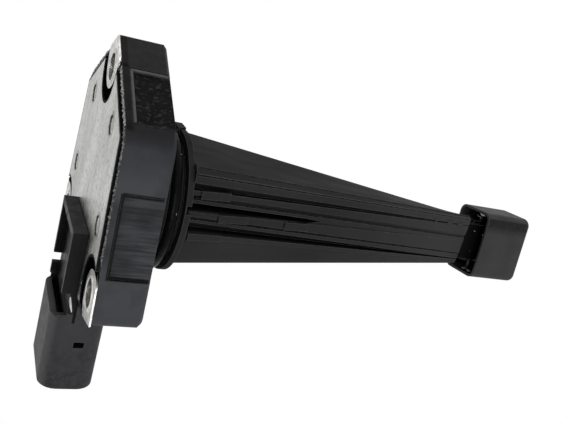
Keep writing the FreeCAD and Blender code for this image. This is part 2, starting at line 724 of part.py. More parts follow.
# Bolt bushes: a barrel under a collar that widens outwards and is trimmed to the flange's outline
def build_bush(number, angle):
    x, y = bolt_spot(angle)
    body = new_body("bolt_bush_%d" % number)
    collar = add_circle(new_sketch(body, "collar_%d" % number, COLLAR_FACE), x, y, "Sizes.collar_radius")
    pad(body, collar, "Sizes.collar_thick")
    tongue = add_polygon(new_sketch(body, "tongue_%d" % number, COLLAR_FACE),
                         bay_corners(angle, "Sizes.collar_radius"))
    pad(body, tongue, "Sizes.collar_thick")
    trim = new_sketch(body, "collar_trim_%d" % number, COLLAR_FACE)
    add_box(trim, "-90", "90", "-90", "90")
    add_polygon(trim, inset_outline("Sizes.collar_inset"))
    pocket(body, trim, "Sizes.collar_thick", upward=True)
    barrel = add_circle(new_sketch(body, "barrel_%d" % number, COLLAR_FACE), x, y, "Sizes.bush_radius")
    pad(body, barrel, "Sizes.flange_thick + Sizes.collar_thick")
    bore = add_circle(new_sketch(body, "bolt_bore_%d" % number, COLLAR_FACE), x, y, "Sizes.bush_bore")
    pocket(body, bore, "Sizes.flange_thick + Sizes.collar_thick", upward=True)
    return body


# Sealing ring on the spigot's shoulder: its round section, as a fine polygon, turned about the axis
def build_ring(sides=12):
    body = new_body("seal_ring")
    section = new_sketch(body, "ring_section", "0", "XZ_Plane")
    corners = []
    for i in range(sides):
        turn = 360.0 * (i + 0.5) / sides
        x = "Sizes.ring_groove_radius + Sizes.ring_section + Sizes.ring_section * cos(%.1f deg)" % turn
        y = "Sizes.spigot_height + Sizes.ring_section + Sizes.ring_section * sin(%.1f deg)" % turn
        corners.append((x, y))
    add_polygon(section, corners)
    ring = body.newObject("PartDesign::Revolution", "ring_turn")
    ring.Profile = section
    ring.ReferenceAxis = (section, ["V_Axis"])
    ring.Angle = 360
    return body


# Electronics
def build_board():
    body = new_body("circuit_board")
    outline = new_sketch(body, "board_outline", "-Sizes.chamber_step - Sizes.board_thick")
    add_flatted(outline, "Sizes.chamber_middle", "Sizes.chamber_radius - Sizes.slip",
                "Sizes.chamber_flat - Sizes.slip")
    pad(body, outline, "Sizes.board_thick")
    return body


BOARD_FACE = "-Sizes.chamber_step - Sizes.board_thick"


def build_chip():
    chip = doc.addObject("Part::Box", "chip_block")
    chip.Label = "main_chip"
    bind(chip, Length="Sizes.chip_side", Width="Sizes.chip_side", Height="Sizes.chip_tall")
    chip.setExpression("Placement.Base.x", "Sizes.chamber_middle - Sizes.chip_side / 2")
    chip.setExpression("Placement.Base.y", "2.5")
    chip.setExpression("Placement.Base.z", BOARD_FACE + " - Sizes.chip_tall")
    return chip


def build_can(number, x, y):
    can = doc.addObject("Part::Cylinder", "can_%d" % number)
    can.Label = "capacitor_%d" % number
    bind(can, Radius="Sizes.can_radius", Height="Sizes.can_tall")
    can.setExpression("Placement.Base.x", x)
    can.setExpression("Placement.Base.y", y)
    can.setExpression("Placement.Base.z", BOARD_FACE + " - Sizes.can_tall")
    return can


def build_probe():
    probe = doc.addObject("Part::Cylinder", "probe_bead")
    probe.Label = "temperature_probe"
    bind(probe, Radius="Sizes.probe_radius",
         Height="Sizes.chamber_step + Sizes.spigot_height - Sizes.membrane")
    probe.setExpression("Placement.Base.x", "-Sizes.probe_back")
    probe.setExpression("Placement.Base.y", "Sizes.probe_side")
    probe.setExpression("Placement.Base.z", "-Sizes.chamber_step")
    return probe


def build_pin(number):
    body = new_body("terminal_pin_%d" % (number + 2))
    bar = add_box(new_sketch(body, "bar_%d" % (number + 2), "Sizes.pin_inner", "YZ_Plane"),
                  pin_side(number, -1), pin_side(number, 1), PIN_FACE, PIN_BACK)
    pad(body, bar, "Sizes.pin_outer - Sizes.pin_inner")
    foot = add_box(new_sketch(body, "foot_%d" % (number + 2), "Sizes.pin_inner", "YZ_Plane"),
                   pin_side(number, -1), pin_side(number, 1), PIN_FACE, BOARD_FACE)
    foot_pad = pad(body, foot, "Sizes.pin_foot")

    def tip_edge(middle, direction, edge):
        return abs(middle.x - size("pin_outer")) < 0.01 and abs(direction.y) > 0.99

    bevel(body, foot_pad, tip_edge, "Sizes.pin_thick / 3")
    return body


# Ultrasonic stack under the membrane
def build_stack():
    top = "Sizes.spigot_height - Sizes.membrane"
    disc = doc.addObject("Part::Cylinder", "disc_plate")
    disc.Label = "transducer_disc"
    bind(disc, Radius="Sizes.disc_radius", Height="Sizes.disc_thick")
    disc.setExpression("Placement.Base.z", top + " - Sizes.disc_thick")
    block = doc.addObject("Part::Cylinder", "soft_pad")
    block.Label = "decoupling_pad"
    bind(block, Radius="Sizes.disc_radius", Height="Sizes.pad_thick")
    block.setExpression("Placement.Base.z", top + " - Sizes.disc_thick - Sizes.pad_thick")
    body = new_body("transducer_holder")
    ring = new_sketch(body, "holder_ring", "-Sizes.well_floor")
    add_circle(ring, "0", "0", "Sizes.stack_bore - Sizes.slip / 2")
    add_circle(ring, "0", "0", "Sizes.disc_radius + Sizes.slip / 2")
    pad(body, ring, "Sizes.well_floor + " + top)
    return [disc, block, body]


# Tower: hub, foot disc, ribbed tapered body and neck in one moulding
def tower_corners(stage):
    # the section at the foot or at the end, as expressions, round from the near left bevel
    def s(name):
        return "Sizes.%s_%s" % (stage, name)

    def face(line, side):
        depth = "Sizes.%s_%s_depth" % (line, "foot" if stage == "base" else "end")
        place = "Sizes.%s_%s" % (line, "foot" if stage == "base" else "end")
        if side == "near":
            return (place, "-%s + %s" % (s("near"), depth))
        return (place, "%s - %s" % (s("far"), depth))

    panel = "Sizes.lower_panel_top_%s_depth" % ("foot" if stage == "base" else "end")
    # a fine step runs along the near left corner
    corners = [
        (s("left"), "-%s + %s + Sizes.corner_cut" % (s("near"), s("bevel"))),
        ("%s + Sizes.corner_cut" % s("left"), "-%s + %s + Sizes.corner_cut" % (s("near"), s("bevel"))),
        ("%s + Sizes.corner_cut" % s("left"), "-%s + %s" % (s("near"), s("bevel"))),
    ]
    corners += [face(line[0], "near") for line in FACE_LINES]
    corners.append(("%s - %s" % (s("right"), s("bevel")), "-%s + %s" % (s("near"), panel)))
    corners.append((s("right"), "-%s + %s" % (s("near"), s("bevel"))))
    corners.append((s("far_right"), "%s - %s" % (s("far"), s("bevel"))))
    corners.append(("%s - %s" % (s("far_right"), s("bevel")), s("far")))
    corners += [face(line[0], "far") for line in FAR_LINES]
    corners.append(("%s + %s" % (s("far_left"), s("bevel")), s("far")))
    corners.append((s("far_left"), "%s - %s" % (s("far"), s("bevel"))))
    return corners


FOOT_TOP = "Sizes.foot_low + Sizes.foot_thick"


def near_face(level):
    # how far the near face stands from the axis at a height along the tower
    span = "(Sizes.tower_end - (" + FOOT_TOP + "))"
    fall = "(Sizes.base_near - Sizes.end_near) * (%s - (%s)) / %s" % (level, FOOT_TOP, span)
    return "(Sizes.base_near - %s)" % fall


def build_tower():
    body = new_body("tower")
    hub = add_circle(new_sketch(body, "hub_circle", "Sizes.spigot_height"), "0", "0",
                     "Sizes.ring_groove_radius")
    pad(body, hub, "Sizes.foot_low - Sizes.spigot_height")
    foot = add_circle(new_sketch(body, "foot_circle", "Sizes.foot_low"), "0", "0", FOOT_RADIUS)
    pad(body, foot, "Sizes.foot_thick")
    lug = add_box(new_sketch(body, "foot_lug", "Sizes.foot_low - Sizes.lug_drop"),
                  "-" + LUG_REACH, "-" + LUG_REACH + " + Sizes.lug_half",
                  "Sizes.lug_side - Sizes.lug_half",
                  "Sizes.lug_side + Sizes.lug_half")
    pad(body, lug, "Sizes.foot_thick + Sizes.lug_drop")
    low = add_polygon(new_sketch(body, "tower_foot", FOOT_TOP), tower_corners("base"))
    high = add_polygon(new_sketch(body, "tower_top", "Sizes.tower_end"), tower_corners("end"))
    loft(body, low, high)
    # middle slot, from the near side; the sketch's normal runs along -Y
    slot = add_polygon(new_sketch(body, "middle_slot", FOOT_RADIUS, "XZ_Plane"),
                       [("Sizes.%s_across" % name, "Sizes.%s_along" % name) for name, x, z in SLOT_CORNERS])
    pocket(body, slot, FOOT_RADIUS + " - Sizes.slot_deep")
    # raised pads on the ribs
    for name, low, high, a, b, c, d in PADS:
        pieces = []
        for stage in ("low", "high"):
            level = "Sizes.%s_%s" % (name, stage)
            section = new_sketch(body, "%s_%s" % (name, stage), level)
            add_box(section, "Sizes.%s_left_%s" % (name, stage), "Sizes.%s_right_%s" % (name, stage),
                    "-" + near_face(level) + " - Sizes.pad_raise", "-" + near_face(level) + " + 1")
            pieces.append(section)
        loft(body, pieces[0], pieces[1])
    # neck that carries the cap, with a latch nose on both narrow sides
    neck = add_box(new_sketch(body, "neck_outline", "Sizes.tower_end", turn="Sizes.cap_turn"),
                   "Sizes.neck_left", "Sizes.neck_right", "-Sizes.neck_half", "Sizes.neck_half")
    pad(body, neck, "Sizes.cap_end - Sizes.cap_floor - Sizes.tower_end")
    noses = add_box(new_sketch(body, "latch_noses", "Sizes.nose_start", turn="Sizes.cap_turn"),
                    "Sizes.neck_left - Sizes.neck_nose", "Sizes.neck_right + Sizes.neck_nose",
                    "-Sizes.nose_half", "Sizes.nose_half")
    pad(body, noses, "Sizes.nose_rise")
    # bore for the tube and the vent above it
    bore = add_circle(new_sketch(body, "tube_seat", "Sizes.spigot_height"), "0", "0",
                      "Sizes.tube_radius + Sizes.tube_slip")
    pocket(body, bore, "Sizes.tube_end - Sizes.spigot_height", upward=True)
    vent = add_circle(new_sketch(body, "vent_circle", "Sizes.spigot_height"), "0", "0", "Sizes.vent_radius")
    pocket(body, vent, "Sizes.cap_end - Sizes.spigot_height", upward=True)
    return body


def build_tube():
    body = new_body("measuring_tube")
    ring = new_sketch(body, "tube_ring", "Sizes.spigot_height")
    add_circle(ring, "0", "0", "Sizes.tube_radius")
    add_circle(ring, "0", "0", "Sizes.tube_bore")
    pad(body, ring, "Sizes.tube_end - Sizes.spigot_height")
    return body


# Cap: a rounded cup over the neck
def build_cap():
    body = new_body("tower_cap")
    turn = "Sizes.cap_turn"
    outer = add_box(new_sketch(body, "cap_outline", "Sizes.cap_rim", turn=turn), "-Sizes.cap_half_wide",
                    "Sizes.cap_half_wide", "-Sizes.cap_half_deep", "Sizes.cap_half_deep")
    cup = pad(body, outer, "Sizes.cap_end - Sizes.cap_rim")

    def upright(middle, direction, edge):
        return abs(direction.z) > 0.99

    def on_end(middle, direction, edge):
        return abs(middle.z - size("cap_end")) < 0.01

    sides = fillet(body, cup, upright, "Sizes.cap_corner")
    fillet(body, sides, on_end, "Sizes.cap_edge")
    hollow = add_rounded_box(new_sketch(body, "cap_hollow", "Sizes.cap_rim", turn=turn),
                             "-Sizes.cap_half_wide + Sizes.cap_wall", "Sizes.cap_half_wide - Sizes.cap_wall",
                             "-Sizes.cap_half_deep + Sizes.cap_wall", "Sizes.cap_half_deep - Sizes.cap_wall",
                             "Sizes.cap_corner - Sizes.cap_wall")
    pocket(body, hollow, "Sizes.cap_end - Sizes.cap_rim - Sizes.cap_floor", upward=True)
    # ribs inside the cup that grip the neck's broad sides and ends
    ribs = new_sketch(body, "cap_ribs", "Sizes.cap_end - Sizes.cap_floor", turn=turn)
    inner = "Sizes.cap_half_deep - Sizes.cap_wall / 2"
    for middle in ("Sizes.neck_left + 2", "Sizes.neck_right - 2"):
        add_box(ribs, middle + " - Sizes.cap_rib / 2", middle + " + Sizes.cap_rib / 2",
                "Sizes.neck_half", inner)
        add_box(ribs, middle + " - Sizes.cap_rib / 2", middle + " + Sizes.cap_rib / 2",
                "-(" + inner + ")", "-Sizes.neck_half")
    end = "Sizes.cap_half_wide - Sizes.cap_wall / 2"
    add_box(ribs, "Sizes.neck_right", end, "-Sizes.cap_rib / 2", "Sizes.cap_rib / 2")
    add_box(ribs, "-(" + end + ")", "Sizes.neck_left", "-Sizes.cap_rib / 2", "Sizes.cap_rib / 2")
    pad(body, ribs, "Sizes.cap_end - Sizes.cap_floor - Sizes.cap_rim - 3", downward=True)
    return body


nodes = [build_housing(), build_plate(), build_gasket()]
nodes += [build_bush(i + 1, angle) for i, angle in enumerate(BOLT_ANGLES)]
nodes += [build_ring(), build_board(), build_chip()]
nodes += [build_can(1, "Sizes.chamber_middle - 7", "-3"), build_can(2, "Sizes.chamber_middle - 2.4", "-3.5")]
nodes += [build_probe()]
nodes += [build_pin(number) for number in (-1, 0, 1)]
nodes += build_stack()
nodes += [build_tower(), build_tube(), build_cap()]
doc.recompute()

# Check everything before any file is written
troubled = []
for thing in doc.Objects:
    if "Invalid" in thing.State or "Error" in thing.State:
        troubled.append(thing.Name)
for node in nodes:
    if node.Shape.isNull() or not node.Shape.isValid():
        troubled.append(node.Label + " shape")
    elif len(node.Shape.Solids) != 1:
        troubled.append("%s has %d solids" % (node.Label, len(node.Shape.Solids)))
if troubled:
    raise RuntimeError("not written: " + ", ".join(troubled))

os.makedirs("parts", exist_ok=True)
for node in nodes:
    node.Shape.exportStep("parts/%s.step" % node.Label)
    box = node.Shape.BoundBox
    print("%-20s %9.1f mm3  x %.1f..%.1f  y %.1f..%.1f  z %.1f..%.1f" % (
        node.Label, node.Shape.Volume, box.XMin, box.XMax, box.YMin, box.YMax, box.ZMin, box.ZMax))
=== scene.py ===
import json
import bpy
import numpy as np
from mathutils import Matrix, Vector


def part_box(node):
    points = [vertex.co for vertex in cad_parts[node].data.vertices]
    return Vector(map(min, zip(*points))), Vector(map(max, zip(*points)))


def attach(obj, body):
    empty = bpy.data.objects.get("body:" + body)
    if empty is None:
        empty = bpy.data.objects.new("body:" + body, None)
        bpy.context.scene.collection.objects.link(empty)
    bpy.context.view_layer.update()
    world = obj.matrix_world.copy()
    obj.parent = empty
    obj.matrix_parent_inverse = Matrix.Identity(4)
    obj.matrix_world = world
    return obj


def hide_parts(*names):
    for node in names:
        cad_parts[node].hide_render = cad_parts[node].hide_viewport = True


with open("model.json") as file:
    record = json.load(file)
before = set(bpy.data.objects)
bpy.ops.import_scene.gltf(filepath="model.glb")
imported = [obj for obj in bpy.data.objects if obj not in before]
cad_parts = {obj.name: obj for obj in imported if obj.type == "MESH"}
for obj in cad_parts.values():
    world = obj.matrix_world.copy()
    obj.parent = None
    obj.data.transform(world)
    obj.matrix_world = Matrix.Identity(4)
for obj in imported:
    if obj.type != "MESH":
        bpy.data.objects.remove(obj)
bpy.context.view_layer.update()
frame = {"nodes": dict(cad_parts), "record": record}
print("frame loaded with", len(frame["nodes"]), "nodes")

# Places that several pieces share: the bolt holes and the collars' face as the frame gives them,
# and the sharp corners of the flange's near side before its shoulder is rounded
boltSizes = next(mount["dims"] for mount in frame["record"]["mounts"] if mount["name"] == "bolts")
boltRadius = boltSizes["pcd_mm"] / 2 / 1000  # from millimetres across to metres from the axis
boreRadius = boltSizes["hole_r_mm"] / 1000
boltAngles = np.radians((180, -60, 60))  # at the nose, then at the near and the far end of the heel
boltPlaces = boltRadius * np.column_stack([np.cos(boltAngles), np.sin(boltAngles)])
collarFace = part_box("bolt_bush_1")[0].z
flangeCorners = {"nose": (-0.0394, 0.0), "shoulder": (-0.0232, -0.0293), "heel": (0.0205, -0.0346)}


# Camera, at the photograph's viewing angle with its picture turned as the sensor lies there
cameraSetup = {
    "place": (-0.0613, -0.1742, -0.0432),
    "right": (-0.2682, -0.3494, 0.8978),
    "up": (-0.9160, 0.3810, -0.1254),
    "back": (-0.2982, -0.8560, -0.4222),
    "focalPixels": 711.4,
    "pictureWidth": 563,
    "sensorWidth": 36,
    "nearest": 0.005,
    "furthest": 10,
}


def addCamera(setup):
    data = bpy.data.cameras.new("viewCamera")
    data.sensor_fit = "HORIZONTAL"
    data.sensor_width = setup["sensorWidth"]
    data.lens = setup["focalPixels"] * setup["sensorWidth"] / setup["pictureWidth"]
    data.clip_start = setup["nearest"]
    data.clip_end = setup["furthest"]
    camera = bpy.data.objects.new("viewCamera", data)
    axes = np.array([setup["right"], setup["up"], setup["back"]]).T
    left, _, right = np.linalg.svd(axes)  # the nearest true rotation to the three measured directions
    turn = Matrix((left @ right).tolist()).to_4x4()
    camera.matrix_world = Matrix.Translation(setup["place"]) @ turn
    bpy.context.scene.collection.objects.link(camera)
    bpy.context.scene.camera = camera


addCamera(cameraSetup)
print("camera placed")


# Studio: a pale floor below the held sensor, white world, soft lamps
studioSetup = {
    "floorHeight": -0.11,
    "floorHalf": 1.5,
    "floorColour": (0.80, 0.80, 0.80),
    "floorRoughness": 0.9,
    "skyLight": 0.55,
    "lamps": (
        # name, place, aimed at, width, height, power
        ("frontSoftbox", (-0.10, -0.66, -0.10), (0.0, 0.0, 0.03), 0.55, 0.45, 4.3),
        ("leftSoftbox", (-0.02, -0.30, -0.55), (0.0, 0.0, 0.0), 0.50, 0.50, 4.0),
        ("topSoftbox", (-0.62, 0.10, 0.15), (0.0, 0.0, 0.05), 0.50, 0.50, 0.4),
    ),
}


# The world is white to the camera and in what mirrors it, and lights the rest at the sky's strength
def addWorld(setup):
    world = bpy.data.worlds.new("paleStudio")
    world.use_nodes = True
    bpy.context.scene.world = world
    nodes, links = world.node_tree.nodes, world.node_tree.links
    nodes.clear()
    path = nodes.new("ShaderNodeLightPath")
    white = path.outputs["Is Camera Ray"]
    for ray in ("Is Glossy Ray", "Is Transmission Ray"):
        either = nodes.new("ShaderNodeMath")
        either.operation = "MAXIMUM"
        links.new(white, either.inputs[0])
        links.new(path.outputs[ray], either.inputs[1])
        white = either.outputs[0]
    mix = nodes.new("ShaderNodeMixShader")
    links.new(white, mix.inputs[0])
    for socket, strength in ((1, setup["skyLight"]), (2, 1.0)):
        glow = nodes.new("ShaderNodeBackground")
        glow.inputs["Color"].default_value = (1, 1, 1, 1)
        glow.inputs["Strength"].default_value = strength
        links.new(glow.outputs[0], mix.inputs[socket])
    out = nodes.new("ShaderNodeOutputWorld")
    links.new(mix.outputs[0], out.inputs[0])


def addLamps(setup):
    for name, place, target, width, height, power in setup["lamps"]:
        data = bpy.data.lights.new(name, "AREA")
        data.shape = "RECTANGLE"
        data.size = width
        data.size_y = height
        data.energy = power
        lamp = bpy.data.objects.new(name, data)
        lamp.location = place
        lamp.rotation_euler = (Vector(target) - Vector(place)).to_track_quat("-Z", "Y").to_euler()
        bpy.context.scene.collection.objects.link(lamp)


# The floor keeps the sensor's shadow, and shows as white in what reflects it
def addFloor(setup):
    half = setup["floorHalf"]
    corners = np.array([(-half, -half), (half, -half), (half, half), (-half, half)])
    points = np.column_stack([corners, np.full(4, setup["floorHeight"])])
    mesh = bpy.data.meshes.new("studioFloor")
    mesh.from_pydata(points.tolist(), [], [(0, 1, 2, 3)])
    floor = bpy.data.objects.new("studioFloor", mesh)
    bpy.context.scene.collection.objects.link(floor)
    paint = bpy.data.materials.new("floorPaint")
    paint.use_nodes = True
    nodes, links = paint.node_tree.nodes, paint.node_tree.links
    surface = nodes["Principled BSDF"]
    surface.inputs["Base Color"].default_value = (*setup["floorColour"], 1)
    surface.inputs["Roughness"].default_value = setup["floorRoughness"]
    path = nodes.new("ShaderNodeLightPath")
    white = nodes.new("ShaderNodeEmission")
    mix = nodes.new("ShaderNodeMixShader")
    links.new(path.outputs["Is Glossy Ray"], mix.inputs[0])
    links.new(surface.outputs[0], mix.inputs[1])
    links.new(white.outputs[0], mix.inputs[2])
    links.new(mix.outputs[0], nodes["Material Output"].inputs["Surface"])
    mesh.materials.append(paint)


bpy.context.scene.view_settings.view_transform = "Standard"
addWorld(studioSetup)
addLamps(studioSetup)
addFloor(studioSetup)
print("studio built")


# Values that all finishes share. A range gives where a pattern starts and where it is full.
finishRules = {
    "noStretch": (1, 1, 1),
    "cloudDetail": 5, "cloudRange": (0.35, 0.65),
    "patchDetail": 3, "patchRoughness": 0.6,
    "wearDetail": 4, "wearRange": (0.3, 0.7),
    "grainDetail": 3, "reliefDetail": 2,
    # the noise that breaks up the painted edge highlights
    "edgeHighlightScale": 1400, "edgeHighlightDetail": 3, "edgeHighlightRange": (0.35, 0.60), "edgeHighlightLeast": 0.35,
    "edgeSamples": 6, "edgeRange": (0.97, 0.80),  # cosine between the rounded and the true normal
    "cavitySamples": 8,
    "arcCore": 0.5, "arcTurn": 0.3,  # share of an arc's width at full strength, and its fade at the tips
}


# Node graph helpers for the finishes; every pattern reads Object coordinates
class FinishGraph:
    def __init__(self, name):
        self.material = bpy.data.materials.new(name)
        self.material.use_nodes = True
        self.nodes = self.material.node_tree.nodes
        self.links = self.material.node_tree.links
        self.surface = self.nodes["Principled BSDF"]
        self.place = self.nodes.new("ShaderNodeTexCoord").outputs["Object"]

    def plug(self, value, socket):
        if isinstance(value, bpy.types.NodeSocket):
            self.links.new(value, socket)
        else:
            socket.default_value = value

    def math(self, operation, first, second=0.0):
        node = self.nodes.new("ShaderNodeMath")
        node.operation = operation
        self.plug(first, node.inputs[0])
        self.plug(second, node.inputs[1])
        return node.outputs[0]

    def vector(self, operation, first, second=(0, 0, 0)):
        node = self.nodes.new("ShaderNodeVectorMath")
        node.operation = operation
        self.plug(first, node.inputs[0])
        self.plug(second, node.inputs[1])
        return node.outputs["Value" if operation in ("DOT_PRODUCT", "LENGTH") else "Vector"]

    def spread(self, value, low, high, toLow, toHigh):
        node = self.nodes.new("ShaderNodeMapRange")
        self.plug(value, node.inputs["Value"])
        node.inputs["From Min"].default_value = low
        node.inputs["From Max"].default_value = high
        node.inputs["To Min"].default_value = toLow
        node.inputs["To Max"].default_value = toHigh
        return node.outputs["Result"]

    def noise(self, scale, detail, stretch=finishRules["noStretch"], roughness=0.5):
        node = self.nodes.new("ShaderNodeTexNoise")
        node.inputs["Scale"].default_value = scale
        node.inputs["Detail"].default_value = detail
        node.inputs["Roughness"].default_value = roughness
        self.links.new(self.vector("MULTIPLY", self.place, stretch), node.inputs["Vector"])
        return node.outputs["Fac"]

    # The mix node's colours are its inputs 6 and 7 and its output 2
    def mix(self, amount, first, second):
        node = self.nodes.new("ShaderNodeMix")
        node.data_type = "RGBA"
        self.plug(amount, node.inputs["Factor"])
        self.plug(first, node.inputs[6])
        self.plug(second, node.inputs[7])
        return node.outputs[2]

    # 1 inside a box from its low to its high corner, falling to 0 over the soft width outside it.
    # A mirrored box lies on the -Y side and counts on the +Y side too.
    def boxMask(self, box):
        low, high = np.array(box["low"]), np.array(box["high"])
        place = self.place
        if box.get("mirrored", False):
            nearSide = self.vector("MULTIPLY", self.vector("ABSOLUTE", place), (0, -1, 0))
            place = self.vector("ADD", self.vector("MULTIPLY", place, (1, 0, 1)), nearSide)
        fromMiddle = self.vector("ABSOLUTE", self.vector("SUBTRACT", place, tuple((low + high) / 2)))
        outside = self.vector("SUBTRACT", fromMiddle, tuple((high - low) / 2))
        parts = self.nodes.new("ShaderNodeSeparateXYZ")
        self.links.new(outside, parts.inputs[0])
        x, y, z = parts.outputs
        furthest = self.math("MAXIMUM", self.math("MAXIMUM", x, y), z)
        return self.spread(furthest, 0.0, box["soft"], 1.0, 0.0)

    # 1 on sharp edges: the rounded normal leaves the true one there
    def edgeMask(self, radius, amount):
        rounded = self.nodes.new("ShaderNodeBevel")
        rounded.samples = finishRules["edgeSamples"]
        rounded.inputs["Radius"].default_value = radius
        true = self.nodes.new("ShaderNodeNewGeometry")
        same = self.vector("DOT_PRODUCT", rounded.outputs[0], true.outputs["True Normal"])
        return self.spread(same, *finishRules["edgeRange"], 0.0, amount)

    # 1 deep in slots and corners, 0 on open faces
    def cavityMask(self, reach, clear, deep):
        node = self.nodes.new("ShaderNodeAmbientOcclusion")
        node.samples = finishRules["cavitySamples"]
        node.only_local = True
        node.inputs["Distance"].default_value = reach
        return self.spread(node.outputs["AO"], clear, deep, 0.0, 1.0)

    # 1 on an upright cylinder's line of the given radius, on the side that the arrow points to
    def arcMask(self, centre, radius, width, arrow):
        flat = self.vector("MULTIPLY", self.vector("SUBTRACT", self.place, centre), (1, 1, 0))
        away = self.math("ABSOLUTE", self.math("SUBTRACT", self.vector("LENGTH", flat), radius))
        line = self.spread(away, width * finishRules["arcCore"], width, 1.0, 0.0)
        towards = self.vector("DOT_PRODUCT", flat, arrow)
        side = self.spread(towards, 0.0, radius * finishRules["arcTurn"], 0.0, 1.0)
        return self.math("MULTIPLY", line, side)

    def bump(self, height, strength, distance, under=None):
        node = self.nodes.new("ShaderNodeBump")
        self.plug(strength, node.inputs["Strength"])
        node.inputs["Distance"].default_value = distance
        self.links.new(height, node.inputs["Height"])
        if under is not None:
            self.links.new(under, node.inputs["Normal"])
        return node.outputs["Normal"]


# One finish: a cloudy colour under patches, arcs, painted shade in hollows and painted highlights on
# sharp edges, then a varied roughness, and a grain under reliefs
def newFinish(name, setup):
    rules = finishRules
    graph = FinishGraph(name)
    surface = graph.surface
    surface.inputs["Metallic"].default_value = setup.get("metal", 0.0)
    surface.inputs["Specular IOR Level"].default_value = setup.get("specular", 0.5)
    stretch = setup.get("stretch", rules["noStretch"])
    cloud = graph.noise(setup["cloudScale"], rules["cloudDetail"], stretch)
    tint = graph.spread(cloud, *setup.get("cloudRange", rules["cloudRange"]), 0.0, 1.0)
    colour = graph.mix(tint, (*setup["darkColour"], 1), (*setup["paleColour"], 1))
    for patch in setup.get("patches", ()):
        along = patch.get("stretch", rules["noStretch"])
        speck = graph.noise(patch["scale"], rules["patchDetail"], along, rules["patchRoughness"])
        amount = graph.spread(speck, patch["from"], patch["to"], 0.0, patch["amount"])
        if "low" in patch:
            amount = graph.math("MULTIPLY", amount, graph.boxMask(patch))
        colour = graph.mix(amount, colour, (*patch["colour"], 1))
    for arc in setup.get("arcs", ()):
        for x, y in arc["centres"]:
            mask = graph.arcMask((x, y, 0), arc["radius"], arc["width"], arc["arrow"])
            if "low" in arc:
                mask = graph.math("MULTIPLY", mask, graph.boxMask(arc))
            colour = graph.mix(graph.math("MULTIPLY", mask, arc["amount"]), colour, (*arc["colour"], 1))
    # Painted shade: darker deep in slots and corners, where shade falls
    for hollow in setup.get("paintedShadeHollows", ()):
        shade = graph.cavityMask(hollow["reach"], hollow["clear"], hollow["deep"])
        colour = graph.mix(shade, colour, (*hollow["colour"], 1))
    # Painted highlight on sharp edges, where light catches them, broken up by a noise
    if "edgeColour" in setup:
        edgeHighlight = graph.edgeMask(setup["edgeRadius"], setup["edgeAmount"])
        edgeHighlightNoise = graph.noise(rules["edgeHighlightScale"], rules["edgeHighlightDetail"])
        patchy = graph.spread(edgeHighlightNoise, *rules["edgeHighlightRange"], rules["edgeHighlightLeast"], 1.0)
        colour = graph.mix(graph.math("MULTIPLY", edgeHighlight, patchy), colour, (*setup["edgeColour"], 1))
    graph.links.new(colour, surface.inputs["Base Color"])
    wear = graph.noise(setup["wearScale"], rules["wearDetail"], stretch)
    rough = graph.spread(wear, *rules["wearRange"], setup["smoothest"], setup["roughest"])
    grain = graph.noise(setup["grainScale"], rules["grainDetail"], stretch)
    normal = graph.bump(grain, setup["grainStrength"], setup["grainDepth"])
    for relief in setup.get("reliefs", ()):
        along = relief.get("stretch", rules["noStretch"])
        height = graph.noise(relief["scale"], relief.get("detail", rules["reliefDetail"]), along)
        strength = relief["strength"]
        if "low" in relief:
            mask = graph.boxMask(relief)
            strength = graph.math("MULTIPLY", mask, strength)
            rough = graph.math("SUBTRACT", rough, graph.math("MULTIPLY", mask, relief.get("gloss", 0.0)))
        normal = graph.bump(height, strength, relief["depth"], normal)
    graph.links.new(rough, surface.inputs["Roughness"])
    graph.links.new(normal, surface.inputs["Normal"])
    return graph.material


def grey(level):
    return (level, level, level)


# A patch of this noise covers its box evenly, because the noise is past its range nearly everywhere
evenCoat = {"scale": 200, "from": 0.0, "to": 0.1}

# Boxes that a patch and a relief share: the long pockets in the flanks, and the cap's mouth
longPocket = {
    "low": (-0.0098, -0.0360, -0.0098), "high": (0.0088, -0.0270, 0.0), "soft": 0.0004, "mirrored": True,
}
capMouth = {"low": (-0.0100, -0.0066, 0.1108), "high": (0.0100, 0.0066, 0.1266), "soft": 0.0003}

# Painted shade: dark lines round the long pockets, along the plate, at the nose end and at the heel end
pocketShadeLines = [
    {
        "scale": 500, "from": 0.0, "to": 0.3, "amount": 0.95, "colour": (0.0015, 0.0015, 0.0017),
        "low": low, "high": high, "soft": soft, "mirrored": True,
    }
    for low, high, soft in (
        ((-0.0104, -0.0360, -0.0102), (0.0092, -0.0270, -0.0093), 0.00015),
        ((-0.0106, -0.0360, -0.0098), (-0.0096, -0.0270, -0.0006), 0.00020),
        ((0.0087, -0.0360, -0.0098), (0.0092, -0.0270, -0.0006), 0.00020),
    )
]

# Painted shade: black wells between the bushes' collars and the plate, on the side toward the tower's axis
wellShadeArcs = [
    {
        "centres": (place,), "radius": 0.0075, "width": 0.0024, "arrow": (*(-place / boltRadius), 0),
        "amount": 1.0, "colour": (0.0008, 0.0008, 0.0009),
        "low": (-0.04, -0.04, -0.0125), "high": (0.03, 0.04, -0.0098), "soft": 0.0002,
    }
    for place in boltPlaces
]

# Painted light and shade round the plate's four pressed marks: a painted highlight on the inner edge,
# painted shade across from it and a black painted shade on the wall
markPlaces = [(x, side * y) for x, y in ((-0.0210, 0.0152), (0.0008, 0.0227)) for side in (-1, 1)]
markLightAndShadeArcs = [
    {
        "centres": markPlaces, "radius": radius, "width": width, "arrow": arrow,
        "amount": amount, "colour": colour,
    }
    for radius, width, arrow, amount, colour in (
        (0.0019, 0.00060, (0.5, 0.8, 0), 0.9, (0.95, 0.95, 0.94)),
        (0.0027, 0.00070, (-0.5, -0.8, 0), 0.8, grey(0.12)),
        (0.0024, 0.00036, (0.5, 0.8, 0), 1.0, grey(0.012)),
    )
]

